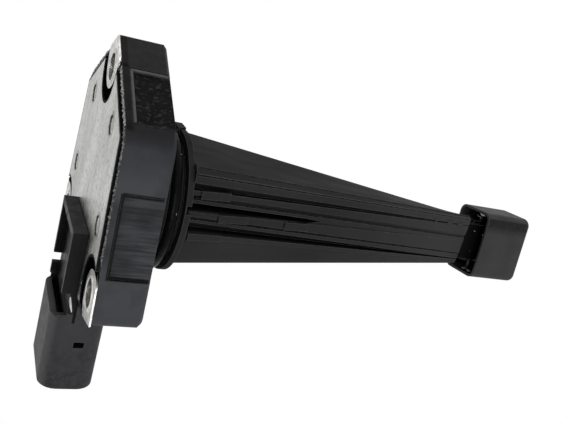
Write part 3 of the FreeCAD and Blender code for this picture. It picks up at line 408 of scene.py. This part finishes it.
# Finishes. A patch, arc or relief without a box covers the whole piece, and a relief's negative gloss
# makes its box rougher.
finishes = {
    "housingPlastic": {
        "darkColour": (0.0160, 0.0167, 0.0190), "paleColour": (0.0250, 0.0261, 0.0295), "specular": 0.08,
        "cloudScale": 160, "wearScale": 400, "smoothest": 0.46, "roughest": 0.66,
        "grainScale": 1500, "grainStrength": 0.60, "grainDepth": 0.00010,
        # painted highlight on the flange's sharp edges
        "edgeColour": (0.090, 0.090, 0.095), "edgeRadius": 0.00028, "edgeAmount": 0.6,
        # painted shade in the flange's hollows
        "paintedShadeHollows": ({"reach": 0.0030, "clear": 0.82, "deep": 0.45, "colour": grey(0.0015)},),
        "patches": (
            {   # paler, greyer flanks from the middle to the heel
                "scale": 60, "from": 0.30, "to": 0.50, "amount": 0.90, "colour": (0.0500, 0.0514, 0.0560),
                "low": (-0.0120, -0.0360, -0.0120), "high": (0.0300, -0.0150, 0.0010), "soft": 0.0100,
                "mirrored": True,
            },
            *pocketShadeLines,
            {   # painted shade on the spigot's side, in the gap under the foot
                **evenCoat, "amount": 1.0, "colour": (0.0012, 0.0012, 0.0013),
                "low": (-0.0190, -0.0190, 0.0012), "high": (0.0190, 0.0190, 0.0050), "soft": 0.0008,
            },
            {   # darker, warmer plastic on the nose's flanks
                "scale": 60, "from": 0.25, "to": 0.40, "amount": 0.92, "colour": (0.0120, 0.0108, 0.0116),
                "low": (-0.0400, -0.0300, -0.0120), "high": (-0.0240, 0.0300, 0.0010), "soft": 0.0035,
            },
            {   # ripples across the long pockets
                "scale": 1500, "stretch": (1, 1, 0.05), "from": 0.42, "to": 0.60, "amount": 0.55,
                "colour": (0.0060, 0.0060, 0.0066), **longPocket,
            },
            {   # painted shade: near-black strip between the flash and the nose pockets
                **evenCoat, "amount": 0.9, "colour": (0.0012, 0.0012, 0.0013),
                "low": (-0.0340, -0.0300, -0.0116), "high": (-0.0240, -0.0040, -0.0101), "soft": 0.0006,
                "mirrored": True,
            },
            {   # black floors of the nose pockets
                **evenCoat, "amount": 0.90, "colour": (0.0022, 0.0020, 0.0021),
                "low": (-0.0336, -0.0262, -0.0098), "high": (-0.0246, 0.0262, 0.0), "soft": 0.0004,
            },
            {   # the raised frame, more neutral
                **evenCoat, "amount": 0.9, "colour": (0.0050, 0.0050, 0.0052),
                "low": (0.0050, -0.0168, -0.0180), "high": (0.0275, 0.0084, -0.0124), "soft": 0.0003,
            },
            {   # the connector's shell, with small paler clouds
                "scale": 700, "from": 0.25, "to": 0.65, "amount": 1.0, "colour": (0.0400, 0.0396, 0.0412),
                "low": (0.0275, -0.0168, -0.0180), "high": (0.0500, 0.0084, 0.0), "soft": 0.0003,
            },
            {   # paler left flank of the shell
                "scale": 500, "from": 0.15, "to": 0.45, "amount": 0.9, "colour": grey(0.0800),
                "low": (0.0290, -0.0150, -0.0180), "high": (0.0500, 0.0084, -0.0166), "soft": 0.0014,
            },
            {   # the lip beside the plate and the rim under it, black in their own shade
                **evenCoat, "amount": 1.0, "colour": grey(0.0018),
                "low": (-0.0420, -0.0370, -0.0122), "high": (0.0300, 0.0370, -0.01156), "soft": 0.00008,
            },
            {   # pale specks on the nose pockets' floors
                "scale": 1300, "stretch": (1, 1, 0.7), "from": 0.54, "to": 0.66, "amount": 0.6,
                "colour": (0.045, 0.043, 0.045),
                "low": (-0.0338, -0.0262, -0.0085), "high": (-0.0248, -0.0102, 0.0), "soft": 0.0003,
                "mirrored": True,
            },
        ),
        "arcs": wellShadeArcs,
        "reliefs": (
            {   # fine ripples across the long pockets
                "scale": 800, "stretch": (1, 1, 0.06), "strength": 1.0, "depth": 0.00045, **longPocket,
            },
            {   # rough, matt floors of the nose pockets
                "scale": 650, "detail": 4, "strength": 0.8, "depth": 0.0003, "gloss": -0.25,
                "low": (-0.0336, -0.0260, -0.0098), "high": (-0.0250, -0.0104, 0.0), "soft": 0.0003,
                "mirrored": True,
            },
            {   # oily gloss on the frame
                "scale": 500, "strength": 0.25, "depth": 0.0002, "gloss": 0.10,
                "low": (0.0050, -0.0168, -0.0180), "high": (0.0262, 0.0084, -0.0126), "soft": 0.0003,
            },
            {   # matt grit in the well at the nose
                "scale": 1500, "detail": 3, "strength": 0.8, "depth": 0.0003, "gloss": -0.30,
                "low": (-0.0420, -0.0100, -0.0123), "high": (-0.0215, 0.0100, -0.0101), "soft": 0.0002,
            },
        ),
    },
    # dark flash whose pale grains are painted highlights on its rough rim
    "flashWithPaintedSparkle": {
        "darkColour": (0.0060, 0.0060, 0.0062), "paleColour": grey(0.1700), "specular": 0.5,
        "cloudScale": 1900, "cloudRange": (0.42, 0.62),
        "wearScale": 1500, "smoothest": 0.18, "roughest": 0.50,
        "grainScale": 1700, "grainStrength": 0.9, "grainDepth": 0.0004,
        "patches": (
            {   # paler flash beside the nose, with more painted highlight
                "scale": 1700, "from": 0.44, "to": 0.56, "amount": 0.9, "colour": grey(0.42),
                "low": (-0.0400, -0.0300, -0.0130), "high": (-0.0245, 0.0, -0.0100), "soft": 0.0010,
                "mirrored": True,
            },
        ),
    },
    # near-black plastic that stands in for shade: the crescents on the collars and the web in the latch
    # window
    "paintedShadePlastic": {
        "darkColour": grey(0.0010), "paleColour": grey(0.0025), "specular": 0.0,
        "cloudScale": 500, "wearScale": 900, "smoothest": 0.22, "roughest": 0.60,
        "grainScale": 1500, "grainStrength": 0.6, "grainDepth": 0.00025,
    },
    # glossy paint whose pale colour is painted highlight, for the glints on the neck and the seal
    "paintedGlintFilm": {
        "darkColour": grey(0.02), "paleColour": grey(0.22), "specular": 0.7,
        "cloudScale": 1500, "wearScale": 900, "smoothest": 0.15, "roughest": 0.35,
        "grainScale": 1100, "grainStrength": 0.8, "grainDepth": 0.00020,
    },
    # paler glossy paint whose pale colour is painted highlight, for the glints in the cap's mouth and the
    # sliver by the frame
    "paintedHighlightGloss": {
        "darkColour": grey(0.50), "paleColour": grey(0.75), "specular": 1.0,
        "cloudScale": 500, "wearScale": 600, "smoothest": 0.05, "roughest": 0.15,
        "grainScale": 500, "grainStrength": 0.1, "grainDepth": 0.00005,
    },
    "borderPlastic": {
        "darkColour": (0.0340, 0.0320, 0.0330), "paleColour": (0.0520, 0.0500, 0.0510), "specular": 0.3,
        "cloudScale": 300, "wearScale": 500, "smoothest": 0.34, "roughest": 0.52,
        "grainScale": 1800, "grainStrength": 0.3, "grainDepth": 0.00008,
    },
    "towerPlastic": {
        "darkColour": (0.0180, 0.0184, 0.0183), "paleColour": (0.0262, 0.0267, 0.0265), "specular": 0.05,
        "cloudScale": 70, "wearScale": 260, "smoothest": 0.68, "roughest": 0.86, "stretch": (1, 1, 0.25),
        "grainScale": 1800, "grainStrength": 0.25, "grainDepth": 0.00005,
        # painted highlight on the tower's sharp edges
        "edgeColour": (0.110, 0.110, 0.112), "edgeRadius": 0.00028, "edgeAmount": 0.9,
        # painted shade deep in the tower's wide slots and thin creases
        "paintedShadeHollows": (
            {"reach": 0.0035, "clear": 0.66, "deep": 0.34, "colour": grey(0.0012)},  # wide slots
            {"reach": 0.0009, "clear": 0.85, "deep": 0.55, "colour": grey(0.0012)},  # thin creases
        ),
        "patches": (
            {   # painted light: paler toward the neck, where the tower's far end is lit more
                "scale": 60, "from": 0.20, "to": 0.50, "amount": 0.90, "colour": (0.0380, 0.0382, 0.0382),
                "low": (-0.0200, -0.0200, 0.0950), "high": (0.0200, 0.0200, 0.1300), "soft": 0.0450,
            },
            {   # the neck and the tower's end lie in the cap's shade
                **evenCoat, "amount": 1.0, "colour": grey(0.0020),
                "low": (-0.0120, -0.0090, 0.1056), "high": (0.0120, 0.0090, 0.1290), "soft": 0.0003,
            },
        ),
        "reliefs": (
            {   # oily gloss where the tower goes into its cap
                "scale": 500, "strength": 0.5, "depth": 0.0003, "gloss": 0.30,
                "low": (-0.0110, -0.0080, 0.1055), "high": (0.0110, 0.0080, 0.1290), "soft": 0.0004,
            },
        ),
    },
    "capPlastic": {
        "darkColour": (0.0280, 0.0272, 0.0272), "paleColour": (0.0365, 0.0355, 0.0355), "specular": 0.14,
        "cloudScale": 120, "wearScale": 300, "smoothest": 0.50, "roughest": 0.64,
        "grainScale": 2400, "grainStrength": 0.15, "grainDepth": 0.00003,
        # painted highlight on the cap's sharp edges
        "edgeColour": grey(0.050), "edgeRadius": 0.0002, "edgeAmount": 0.5,
        # the cup's inside is blacker with painted shade, and has an oily gloss
        "patches": ({**evenCoat, "amount": 1.0, "colour": grey(0.0060), **capMouth},),
        "reliefs": ({"scale": 380, "strength": 0.7, "depth": 0.0005, "gloss": 0.34, **capMouth},),
    },
    "plateSheet": {
        "darkColour": (0.42, 0.42, 0.405), "paleColour": (0.60, 0.60, 0.58), "metal": 1.0,
        "cloudScale": 110, "wearScale": 900, "smoothest": 0.32, "roughest": 0.50, "stretch": (0.35, 1, 1),
        "grainScale": 1300, "grainStrength": 0.55, "grainDepth": 0.00012,
        # painted highlight along the plate's edges
        "edgeColour": (0.85, 0.85, 0.84), "edgeRadius": 0.0003, "edgeAmount": 0.8,
        "patches": (
            {   # faint streaks along X
                "scale": 420, "stretch": (0.10, 1, 1), "from": 0.50, "to": 0.75, "amount": 0.5,
                "colour": (0.30, 0.30, 0.285),
            },
            # grey blotches, finer grey grain and bright flecks
            {"scale": 900, "from": 0.52, "to": 0.68, "amount": 0.8, "colour": (0.22, 0.22, 0.21)},
            {"scale": 2200, "from": 0.52, "to": 0.70, "amount": 0.6, "colour": (0.30, 0.30, 0.29)},
            {"scale": 1700, "from": 0.62, "to": 0.70, "amount": 0.7, "colour": (0.85, 0.85, 0.84)},
        ),
        "arcs": markLightAndShadeArcs,
    },
    "bushSteel": {
        "darkColour": (0.40, 0.39, 0.37), "paleColour": (0.74, 0.73, 0.71), "metal": 1.0,
        "cloudScale": 500, "wearScale": 900, "smoothest": 0.26, "roughest": 0.46,
        "grainScale": 1500, "grainStrength": 0.45, "grainDepth": 0.00012,
        # painted highlight on the bushes' edges
        "edgeColour": (0.90, 0.90, 0.89), "edgeRadius": 0.0002, "edgeAmount": 0.8,
        # dark pits
        "patches": ({"scale": 1100, "from": 0.58, "to": 0.70, "amount": 0.85, "colour": grey(0.10)},),
    },
    "sealRubber": {
        "darkColour": (0.0020, 0.0020, 0.0021), "paleColour": (0.0035, 0.0035, 0.0037), "specular": 0.04,
        "cloudScale": 220, "wearScale": 350, "smoothest": 0.16, "roughest": 0.46,
        "grainScale": 900, "grainStrength": 0.35, "grainDepth": 0.00015,
        # soft waves in the rubber
        "reliefs": ({"scale": 260, "detail": 3, "strength": 0.5, "depth": 0.0008},),
    },
    "boardMask": {
        "darkColour": (0.008, 0.075, 0.030), "paleColour": (0.015, 0.120, 0.050), "specular": 0.5,
        "cloudScale": 400, "wearScale": 800, "smoothest": 0.25, "roughest": 0.40,
        "grainScale": 3000, "grainStrength": 0.1, "grainDepth": 0.00003,
    },
    "chipEpoxy": {
        "darkColour": grey(0.015), "paleColour": grey(0.025), "specular": 0.4,
        "cloudScale": 500, "wearScale": 900, "smoothest": 0.5, "roughest": 0.7,
        "grainScale": 4000, "grainStrength": 0.2, "grainDepth": 0.00002,
    },
    "canAluminium": {
        "darkColour": (0.62, 0.62, 0.63), "paleColour": (0.80, 0.80, 0.81), "metal": 1.0,
        "cloudScale": 300, "wearScale": 700, "smoothest": 0.2, "roughest": 0.35,
        "grainScale": 2500, "grainStrength": 0.15, "grainDepth": 0.00003,
    },
    "pinTin": {
        "darkColour": (0.58, 0.57, 0.54), "paleColour": (0.80, 0.79, 0.76), "metal": 1.0,
        "cloudScale": 400, "wearScale": 900, "smoothest": 0.18, "roughest": 0.34, "stretch": (0.2, 1, 1),
        "grainScale": 2600, "grainStrength": 0.12, "grainDepth": 0.00003,
    },
    "ceramicDisc": {
        "darkColour": (0.62, 0.60, 0.54), "paleColour": (0.76, 0.74, 0.68), "specular": 0.4,
        "cloudScale": 300, "wearScale": 700, "smoothest": 0.45, "roughest": 0.6,
        "grainScale": 3000, "grainStrength": 0.15, "grainDepth": 0.00003,
    },
    "softPad": {
        "darkColour": (0.10, 0.10, 0.11), "paleColour": (0.17, 0.17, 0.18), "specular": 0.2,
        "cloudScale": 700, "wearScale": 900, "smoothest": 0.8, "roughest": 0.95,
        "grainScale": 2200, "grainStrength": 0.6, "grainDepth": 0.00012,
    },
}
built = {name: newFinish(name, setup) for name, setup in finishes.items()}

# The nodes that wear each finish
dressing = {
    "housingPlastic": ("flange_housing", "transducer_holder"),
    "towerPlastic": ("tower",),
    "capPlastic": ("tower_cap",),
    "plateSheet": ("base_plate",),
    "bushSteel": ("bolt_bush_1", "bolt_bush_2", "bolt_bush_3"),
    "sealRubber": ("seal_ring", "plate_gasket"),
    "boardMask": ("circuit_board",),
    "chipEpoxy": ("main_chip", "temperature_probe"),
    "canAluminium": ("capacitor_1", "capacitor_2", "measuring_tube"),
    "pinTin": ("terminal_pin_1", "terminal_pin_2", "terminal_pin_3"),
    "ceramicDisc": ("transducer_disc",),
    "softPad": ("decoupling_pad",),
}
for finish, wearers in dressing.items():
    for node in wearers:
        materials = bpy.data.objects[node].data.materials
        materials.clear()
        materials.append(built[finish])
print("finishes on", sum(len(wearers) for wearers in dressing.values()), "nodes")


# Even angles round a section or a circle, the last one short of a full turn
def fullTurn(steps):
    return np.linspace(0, 2 * np.pi, steps, endpoint=False)


# Height of a bead's section at each angle: sin t above its base, and a small share of sin t below
def crown(turn, sink=0.1):
    return np.where(np.sin(turn) > 0, np.sin(turn), sink * np.sin(turn))


# Vectors along the last axis, made one long
def unit(vectors):
    return vectors / np.linalg.norm(vectors, axis=-1, keepdims=True)


# The middles of the first and the last ring, for the fans that close a skin
def endMiddles(rings):
    return np.array([rings[0].mean(axis=0), rings[-1].mean(axis=0)])


# Skin over a stack of rings: quads from each ring to the next. With two end points a fan closes
# each end, and without them the last ring joins the first. A negative volume means it is inside out.
def skin(name, rings, finish, ends=None):
    count, around = rings.shape[:2]
    index = np.arange(count * around).reshape(count, around)
    index = np.hstack([index, index[:, :1]])
    if ends is None:
        index = np.vstack([index, index[:1]])
    quads = np.stack([index[:-1, :-1], index[:-1, 1:], index[1:, 1:], index[1:, :-1]], axis=-1)
    quads = quads.reshape(-1, 4)
    points = rings.reshape(-1, 3)
    faces = quads.tolist()
    if ends is not None:
        tip = np.full(around, len(points))
        points = np.vstack([points, ends])
        faces += np.stack([index[0, 1:], index[0, :-1], tip], axis=-1).tolist()
        faces += np.stack([index[-1, :-1], index[-1, 1:], tip + 1], axis=-1).tolist()
    a, b, c, d = (points[quads[:, k]] - points.mean(axis=0) for k in range(4))
    volume = np.sum(a * (np.cross(b, c) + np.cross(c, d)))
    mesh = bpy.data.meshes.new(name)
    mesh.from_pydata(points.tolist(), [], faces)
    if volume < 0:
        mesh.flip_normals()
    mesh.polygons.foreach_set("use_smooth", np.ones(len(mesh.polygons), dtype=bool))
    mesh.update()
    mesh.materials.append(built[finish])
    piece = bpy.data.objects.new(name, mesh)
    bpy.context.scene.collection.objects.link(piece)
    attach(piece, "root")
    return piece


# The same rings skinned on the near side and, mirrored, on the far one
def skinBothSides(detail, rings, finish):
    for side, mirror in (("near", 1), ("far", -1)):
        placed = rings * (1, mirror, 1)
        skin(side + detail, placed, finish, endMiddles(placed))


# Turned piece: each profile point (r, z) runs round the axis as centre + (r cos t, r sin t, z)
def turned(name, profile, centre, steps, finish):
    turn = fullTurn(steps)
    rings = np.empty((steps, len(profile), 3))
    rings[..., 0] = centre[0] + np.outer(np.cos(turn), profile[:, 0])
    rings[..., 1] = centre[1] + np.outer(np.sin(turn), profile[:, 0])
    rings[..., 2] = centre[2] + profile[:, 1]
    return skin(name, rings, finish)


# Sealing ring: a smooth round section where the frame has a faceted one, a little thicker than it
sealSetup = {"swell": 0.00004, "steps": 240, "around": 32}


def addSeal(setup):
    low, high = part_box("seal_ring")
    section = (high.z - low.z) / 2
    ringRadius = high.x - section
    turn = fullTurn(setup["around"])
    reach = section + setup["swell"]
    profile = np.column_stack([ringRadius + reach * np.cos(turn), reach * np.sin(turn)])
    middle = (0, 0, (low.z + high.z) / 2)
    piece = turned("sealRing", profile, middle, setup["steps"], "sealRubber")
    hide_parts("seal_ring")


addSeal(sealSetup)
print("seal ring added")

# Rolled rims round the bushes' bores: half an ellipse on the collar's face
rimSetup = {"fromBore": 0.00060, "halfWide": 0.00050, "rise": 0.00018, "steps": 96, "around": 14}


def addBoreRims(setup):
    turn = fullTurn(setup["around"])
    across = boreRadius + setup["fromBore"] + setup["halfWide"] * np.cos(turn)
    profile = np.column_stack([across, -setup["rise"] * crown(turn)])
    for number, place in enumerate(boltPlaces, start=1):
        centre = (*place, collarFace)
        turned("boreRim%d" % number, profile, centre, setup["steps"], "bushSteel")


addBoreRims(rimSetup)
print("bore rims added")

# Rough moulding flash along the flange's outer edge, between the collars, on the rim's face; its pale
# grains are painted highlight where the rough rim catches the light. It starts this far from the nose
# corner and finishes this far past the shoulder corner.
flashSetup = {
    "start": 0.0108, "finish": 0.0302, "shoulderRound": 0.0080, "shoulderSteps": 40, "face": -0.0115,
    "inset": 0.00055, "halfWide": 0.00038, "rise": 0.00042, "spacing": 0.00018, "around": 10,
    "unevenness": 0.38, "smoothing": (0.25, 0.5, 0.25), "seed": 7,
    "wideRange": (0.4, 1.8), "riseRange": (0.3, 1.9), "sway": 0.2, "fadeSteps": 8, "endSize": 0.15,
}


# Path: straight, then the shoulder's arc that touches both sides, then straight; even steps by length
def flashPath(setup):
    nose, shoulder, heel = (np.array(flangeCorners[corner]) for corner in ("nose", "shoulder", "heel"))
    back, ahead = unit(nose - shoulder), unit(heel - shoulder)
    halfAngle = np.arccos(np.dot(back, ahead)) / 2
    reach = setup["shoulderRound"] / np.tan(halfAngle)
    middle = shoulder + unit(back + ahead) * setup["shoulderRound"] / np.sin(halfAngle)
    first = shoulder + back * reach - middle
    last = shoulder + ahead * reach - middle
    firstAngle, lastAngle = (np.arctan2(spoke[1], spoke[0]) for spoke in (first, last))
    turns = np.linspace(firstAngle, lastAngle, setup["shoulderSteps"])
    arc = middle + setup["shoulderRound"] * np.column_stack([np.cos(turns), np.sin(turns)])
    begin = shoulder + back * (np.linalg.norm(nose - shoulder) - setup["start"])
    rough = np.vstack([begin, arc, shoulder + ahead * setup["finish"]])
    walked = np.concatenate([[0], np.cumsum(np.linalg.norm(np.diff(rough, axis=0), axis=1))])
    even = np.arange(0, walked[-1], setup["spacing"])
    return np.column_stack([np.interp(even, walked, rough[:, k]) for k in range(2)])


# A bead along the path: its half width, rise and place inward each shake at every step, smoothed
# over three steps, and fade toward both ends
def addFlash(setup):
    path = flashPath(setup)
    along = unit(np.gradient(path, axis=0))
    inward = np.column_stack([-along[:, 1], along[:, 0]])
    random = np.random.default_rng(setup["seed"])
    shake = random.normal(0, setup["unevenness"], (3, len(path)))
    shake = np.array([np.convolve(row, setup["smoothing"], "same") for row in shake])
    fromEnd = np.minimum(np.arange(len(path)), np.arange(len(path))[::-1])
    fade = np.clip(fromEnd / setup["fadeSteps"], setup["endSize"], 1)
    wide = setup["halfWide"] * (1 + shake[0]).clip(*setup["wideRange"]) * fade
    rise = setup["rise"] * (1 + shake[1]).clip(*setup["riseRange"]) * fade
    shift = setup["inset"] + setup["sway"] * setup["halfWide"] * shake[2]
    turn = fullTurn(setup["around"])
    across = shift[:, None] + wide[:, None] * np.cos(turn)
    rings = np.empty((*across.shape, 3))
    rings[..., :2] = path[:, None] + across[..., None] * inward[:, None]
    rings[..., 2] = setup["face"] - rise[:, None] * crown(turn)
    skinBothSides("Flash", rings, "flashWithPaintedSparkle")


addFlash(flashSetup)
print("flash added")

# Near-black crescents over the collars' edges on the side toward the tower's axis, thin and slightly
# crowned, standing in for the shade in the wells there
shadeCrescentSetup = {
    "inside": 0.0053, "outside": 0.0083, "proud": 0.00002, "rise": 0.00010,
    "halfTurn": 100, "taperTurn": 85, "leastTaper": 0.02, "steps": 60, "around": 12,
}


# The outer edge keeps to the outside circle, and the half width is (outside - inside) / 2 times
# sqrt(cos s), where s runs to the taper's turn as the sweep runs to its own half turn
def addShadeCrescents(setup):
    sweep = np.radians(np.linspace(-setup["halfTurn"], setup["halfTurn"], setup["steps"]))[:, None]
    turn = fullTurn(setup["around"])
    taper = np.sqrt(np.cos(sweep * setup["taperTurn"] / setup["halfTurn"])).clip(setup["leastTaper"], 1)
    half = (setup["outside"] - setup["inside"]) / 2 * taper
    radius = setup["outside"] - half + half * np.cos(turn)
    for number, (angle, place) in enumerate(zip(boltAngles, boltPlaces), start=1):
        towards = angle + np.pi + sweep
        rings = np.empty((*radius.shape, 3))
        rings[..., 0] = place[0] + radius * np.cos(towards)
        rings[..., 1] = place[1] + radius * np.sin(towards)
        rings[..., 2] = collarFace - setup["proud"] - setup["rise"] * taper * crown(turn)
        skin("collarCrescent%d" % number, rings, "paintedShadePlastic", endMiddles(rings))


addShadeCrescents(shadeCrescentSetup)
print("crescents added")

# L-shaped smooth border in the nose pockets: along the plate's side and across the nose end. The
# pocket starts this far from the nose corner, and its floor lies this deep in the flank.
borderSetup = {
    "pocketStart": 0.0115, "pocketLength": 0.0183, "pocketDepth": 0.0009,
    "lowEdge": -0.0100, "topEdge": -0.0004, "wide": 0.0012, "endWide": 0.0007,
    "rise": 0.00090, "sink": 0.05, "steps": 24, "around": 12,
}


# A flat bead along straight legs: its section is an ellipse, wide across the leg and low above the floor
def addPocketBorders(setup):
    nose, shoulder = (np.array(flangeCorners[corner]) for corner in ("nose", "shoulder"))
    along = unit(shoulder - nose)
    inward = np.array([-along[1], along[0]])
    start = setup["pocketStart"] + setup["endWide"] / 2
    finish = setup["pocketStart"] + setup["pocketLength"] - setup["wide"] / 2
    middle = setup["lowEdge"] + setup["wide"] / 2
    legs = (
        # name, first and last point as (way along the flank, height), width
        ("PocketEdge", (finish, middle), (start, middle), setup["wide"]),
        ("PocketEnd", (start, middle), (start, setup["topEdge"]), setup["endWide"]),
    )
    turn = fullTurn(setup["around"])
    lift = setup["pocketDepth"] - setup["rise"] * crown(turn, setup["sink"])
    share = np.linspace(0, 1, setup["steps"])[:, None]
    for detail, first, last, wide in legs:
        leg = np.array(last) - np.array(first)
        spine = np.array(first) + share * leg
        across = np.array([-unit(leg)[1], unit(leg)[0]]) * wide / 2
        plane = spine[:, None] + np.cos(turn)[:, None] * across
        rings = np.empty((*plane.shape[:2], 3))
        rings[..., :2] = nose + plane[..., :1] * along + lift[None, :, None] * inward
        rings[..., 2] = plane[..., 1]
        skinBothSides(detail, rings, "borderPlastic")


addPocketBorders(borderSetup)
print("pocket borders added")

# Small moulded details, and pale glossy pieces that are painted highlights for the oily glints
pillowSetup = {
    # name: centre, half sizes, sharpness, finish, slot
    # a near-black web that stands in for the shade in the latch window
    "latchWeb": ((0.0362, -0.0153, -0.0094), (0.0012, 0.0004, 0.0018), 6, "paintedShadePlastic", "flange_housing"),
    "neckGlintOne": ((-0.0043, -0.0030, 0.1095), (0.00018, 0.00010, 0.00045), 2, "paintedGlintFilm", "tower"),
    "neckGlintTwo": ((-0.0034, -0.0031, 0.1132), (0.00035, 0.00010, 0.00040), 4, "paintedGlintFilm", "tower"),
    "neckGlintThree": ((0.0024, -0.0036, 0.1100), (0.00014, 0.00010, 0.00018), 2, "paintedGlintFilm", "tower"),
    "neckGlintFour": ((0.0052, -0.0039, 0.1128), (0.00028, 0.00010, 0.00038), 4, "paintedGlintFilm", "tower"),
    "mouthGlintOne": ((-0.0098, -0.0018, 0.1113), (0.00025, 0.00120, 0.00080), 2, "paintedHighlightGloss", "tower_cap"),
    "mouthGlintThree": ((-0.0081, 0.0015, 0.1130), (0.00012, 0.00110, 0.00035), 2, "paintedHighlightGloss", "tower_cap"),
    "mouthGlintFour": ((0.0097, -0.0022, 0.1135), (0.00014, 0.00110, 0.00060), 2, "paintedHighlightGloss", "tower_cap"),
    "mouthGlintTwo": ((0.0098, -0.0004, 0.1134), (0.00020, 0.00050, 0.00130), 2, "paintedHighlightGloss", "tower_cap"),
    "sealGlintOne": ((-0.0028, -0.0187, 0.0065), (0.00040, 0.00012, 0.00020), 2, "paintedGlintFilm", "seal_ring"),
    "sealGlintTwo": ((-0.0010, -0.0188, 0.0063), (0.00030, 0.00012, 0.00025), 2, "paintedGlintFilm", "seal_ring"),
    "sealGlintThree": ((-0.01555, -0.01065, 0.0065), (0.00014, 0.00020, 0.00050), 2, "paintedGlintFilm", "seal_ring"),
    "towerNub": ((-0.0071, -0.0060, 0.0909), (0.0006, 0.0005, 0.0006), 3, "towerPlastic", "tower"),
    "towerMarkOne": ((-0.0068, -0.0053, 0.0969), (0.0006, 0.0004, 0.0011), 5, "towerPlastic", "tower"),
    "towerMarkTwo": ((-0.0064, -0.0047, 0.1014), (0.0006, 0.0004, 0.0011), 5, "towerPlastic", "tower"),
}


# Pillow: |x|^e + |y|^e + |z|^e = 1 with e the sharpness, scaled to its half sizes and placed
def addPillow(name, centre, half, sharpness, finish, slot, steps=24):
    tilt = np.linspace(-np.pi / 2, np.pi / 2, steps + 1)[1:-1, None]
    turn = fullTurn(steps * 2)

    def signedPower(wave):
        return np.sign(wave) * np.abs(wave) ** (2 / sharpness)

    rings = np.empty((steps - 1, steps * 2, 3))
    rings[..., 0] = centre[0] + half[0] * signedPower(np.cos(tilt)) * signedPower(np.cos(turn))
    rings[..., 1] = centre[1] + half[1] * signedPower(np.cos(tilt)) * signedPower(np.sin(turn))
    rings[..., 2] = centre[2] + half[2] * signedPower(np.sin(tilt))
    ends = np.array(centre) + np.array([(0, 0, -half[2]), (0, 0, half[2])])
    skin(name, rings, finish, ends)


for name, details in pillowSetup.items():
    addPillow(name, *details)
print("small details added")

# Painted highlight: a pale, polished sliver on the ledge between the frame and the shell
highlightSliverSetup = {
    "start": (0.0226, -0.01640, -0.01375),
    "bend": (0.0245, -0.01645, -0.01350),
    "finish": (0.0271, -0.01645, -0.01265),
    "radius": 0.00030, "leastTaper": 0.1, "steps": 30, "around": 12,
}


# A bead along the curve (1-s)^2 start + 2s(1-s) bend + s^2 finish, its radius times sqrt(sin(pi s))
def addHighlightSliver(setup):
    share = np.linspace(0, 1, setup["steps"])[:, None]
    start, bend, finish = (np.array(setup[key]) for key in ("start", "bend", "finish"))
    spine = (1 - share) ** 2 * start + 2 * share * (1 - share) * bend + share ** 2 * finish
    out = np.array([0.0, 1.0, 0.0])
    side = np.cross(unit(np.gradient(spine, axis=0)), out)
    turn = fullTurn(setup["around"])[None, :, None]
    taper = np.sqrt(np.sin(np.pi * share)).clip(setup["leastTaper"], 1)[:, :, None]
    rings = spine[:, None] + setup["radius"] * taper * (np.cos(turn) * side[:, None] + np.sin(turn) * out)
    skin("shellSliver", rings, "paintedHighlightGloss", np.array([start, finish]))


addHighlightSliver(highlightSliverSetup)
print("sliver added")
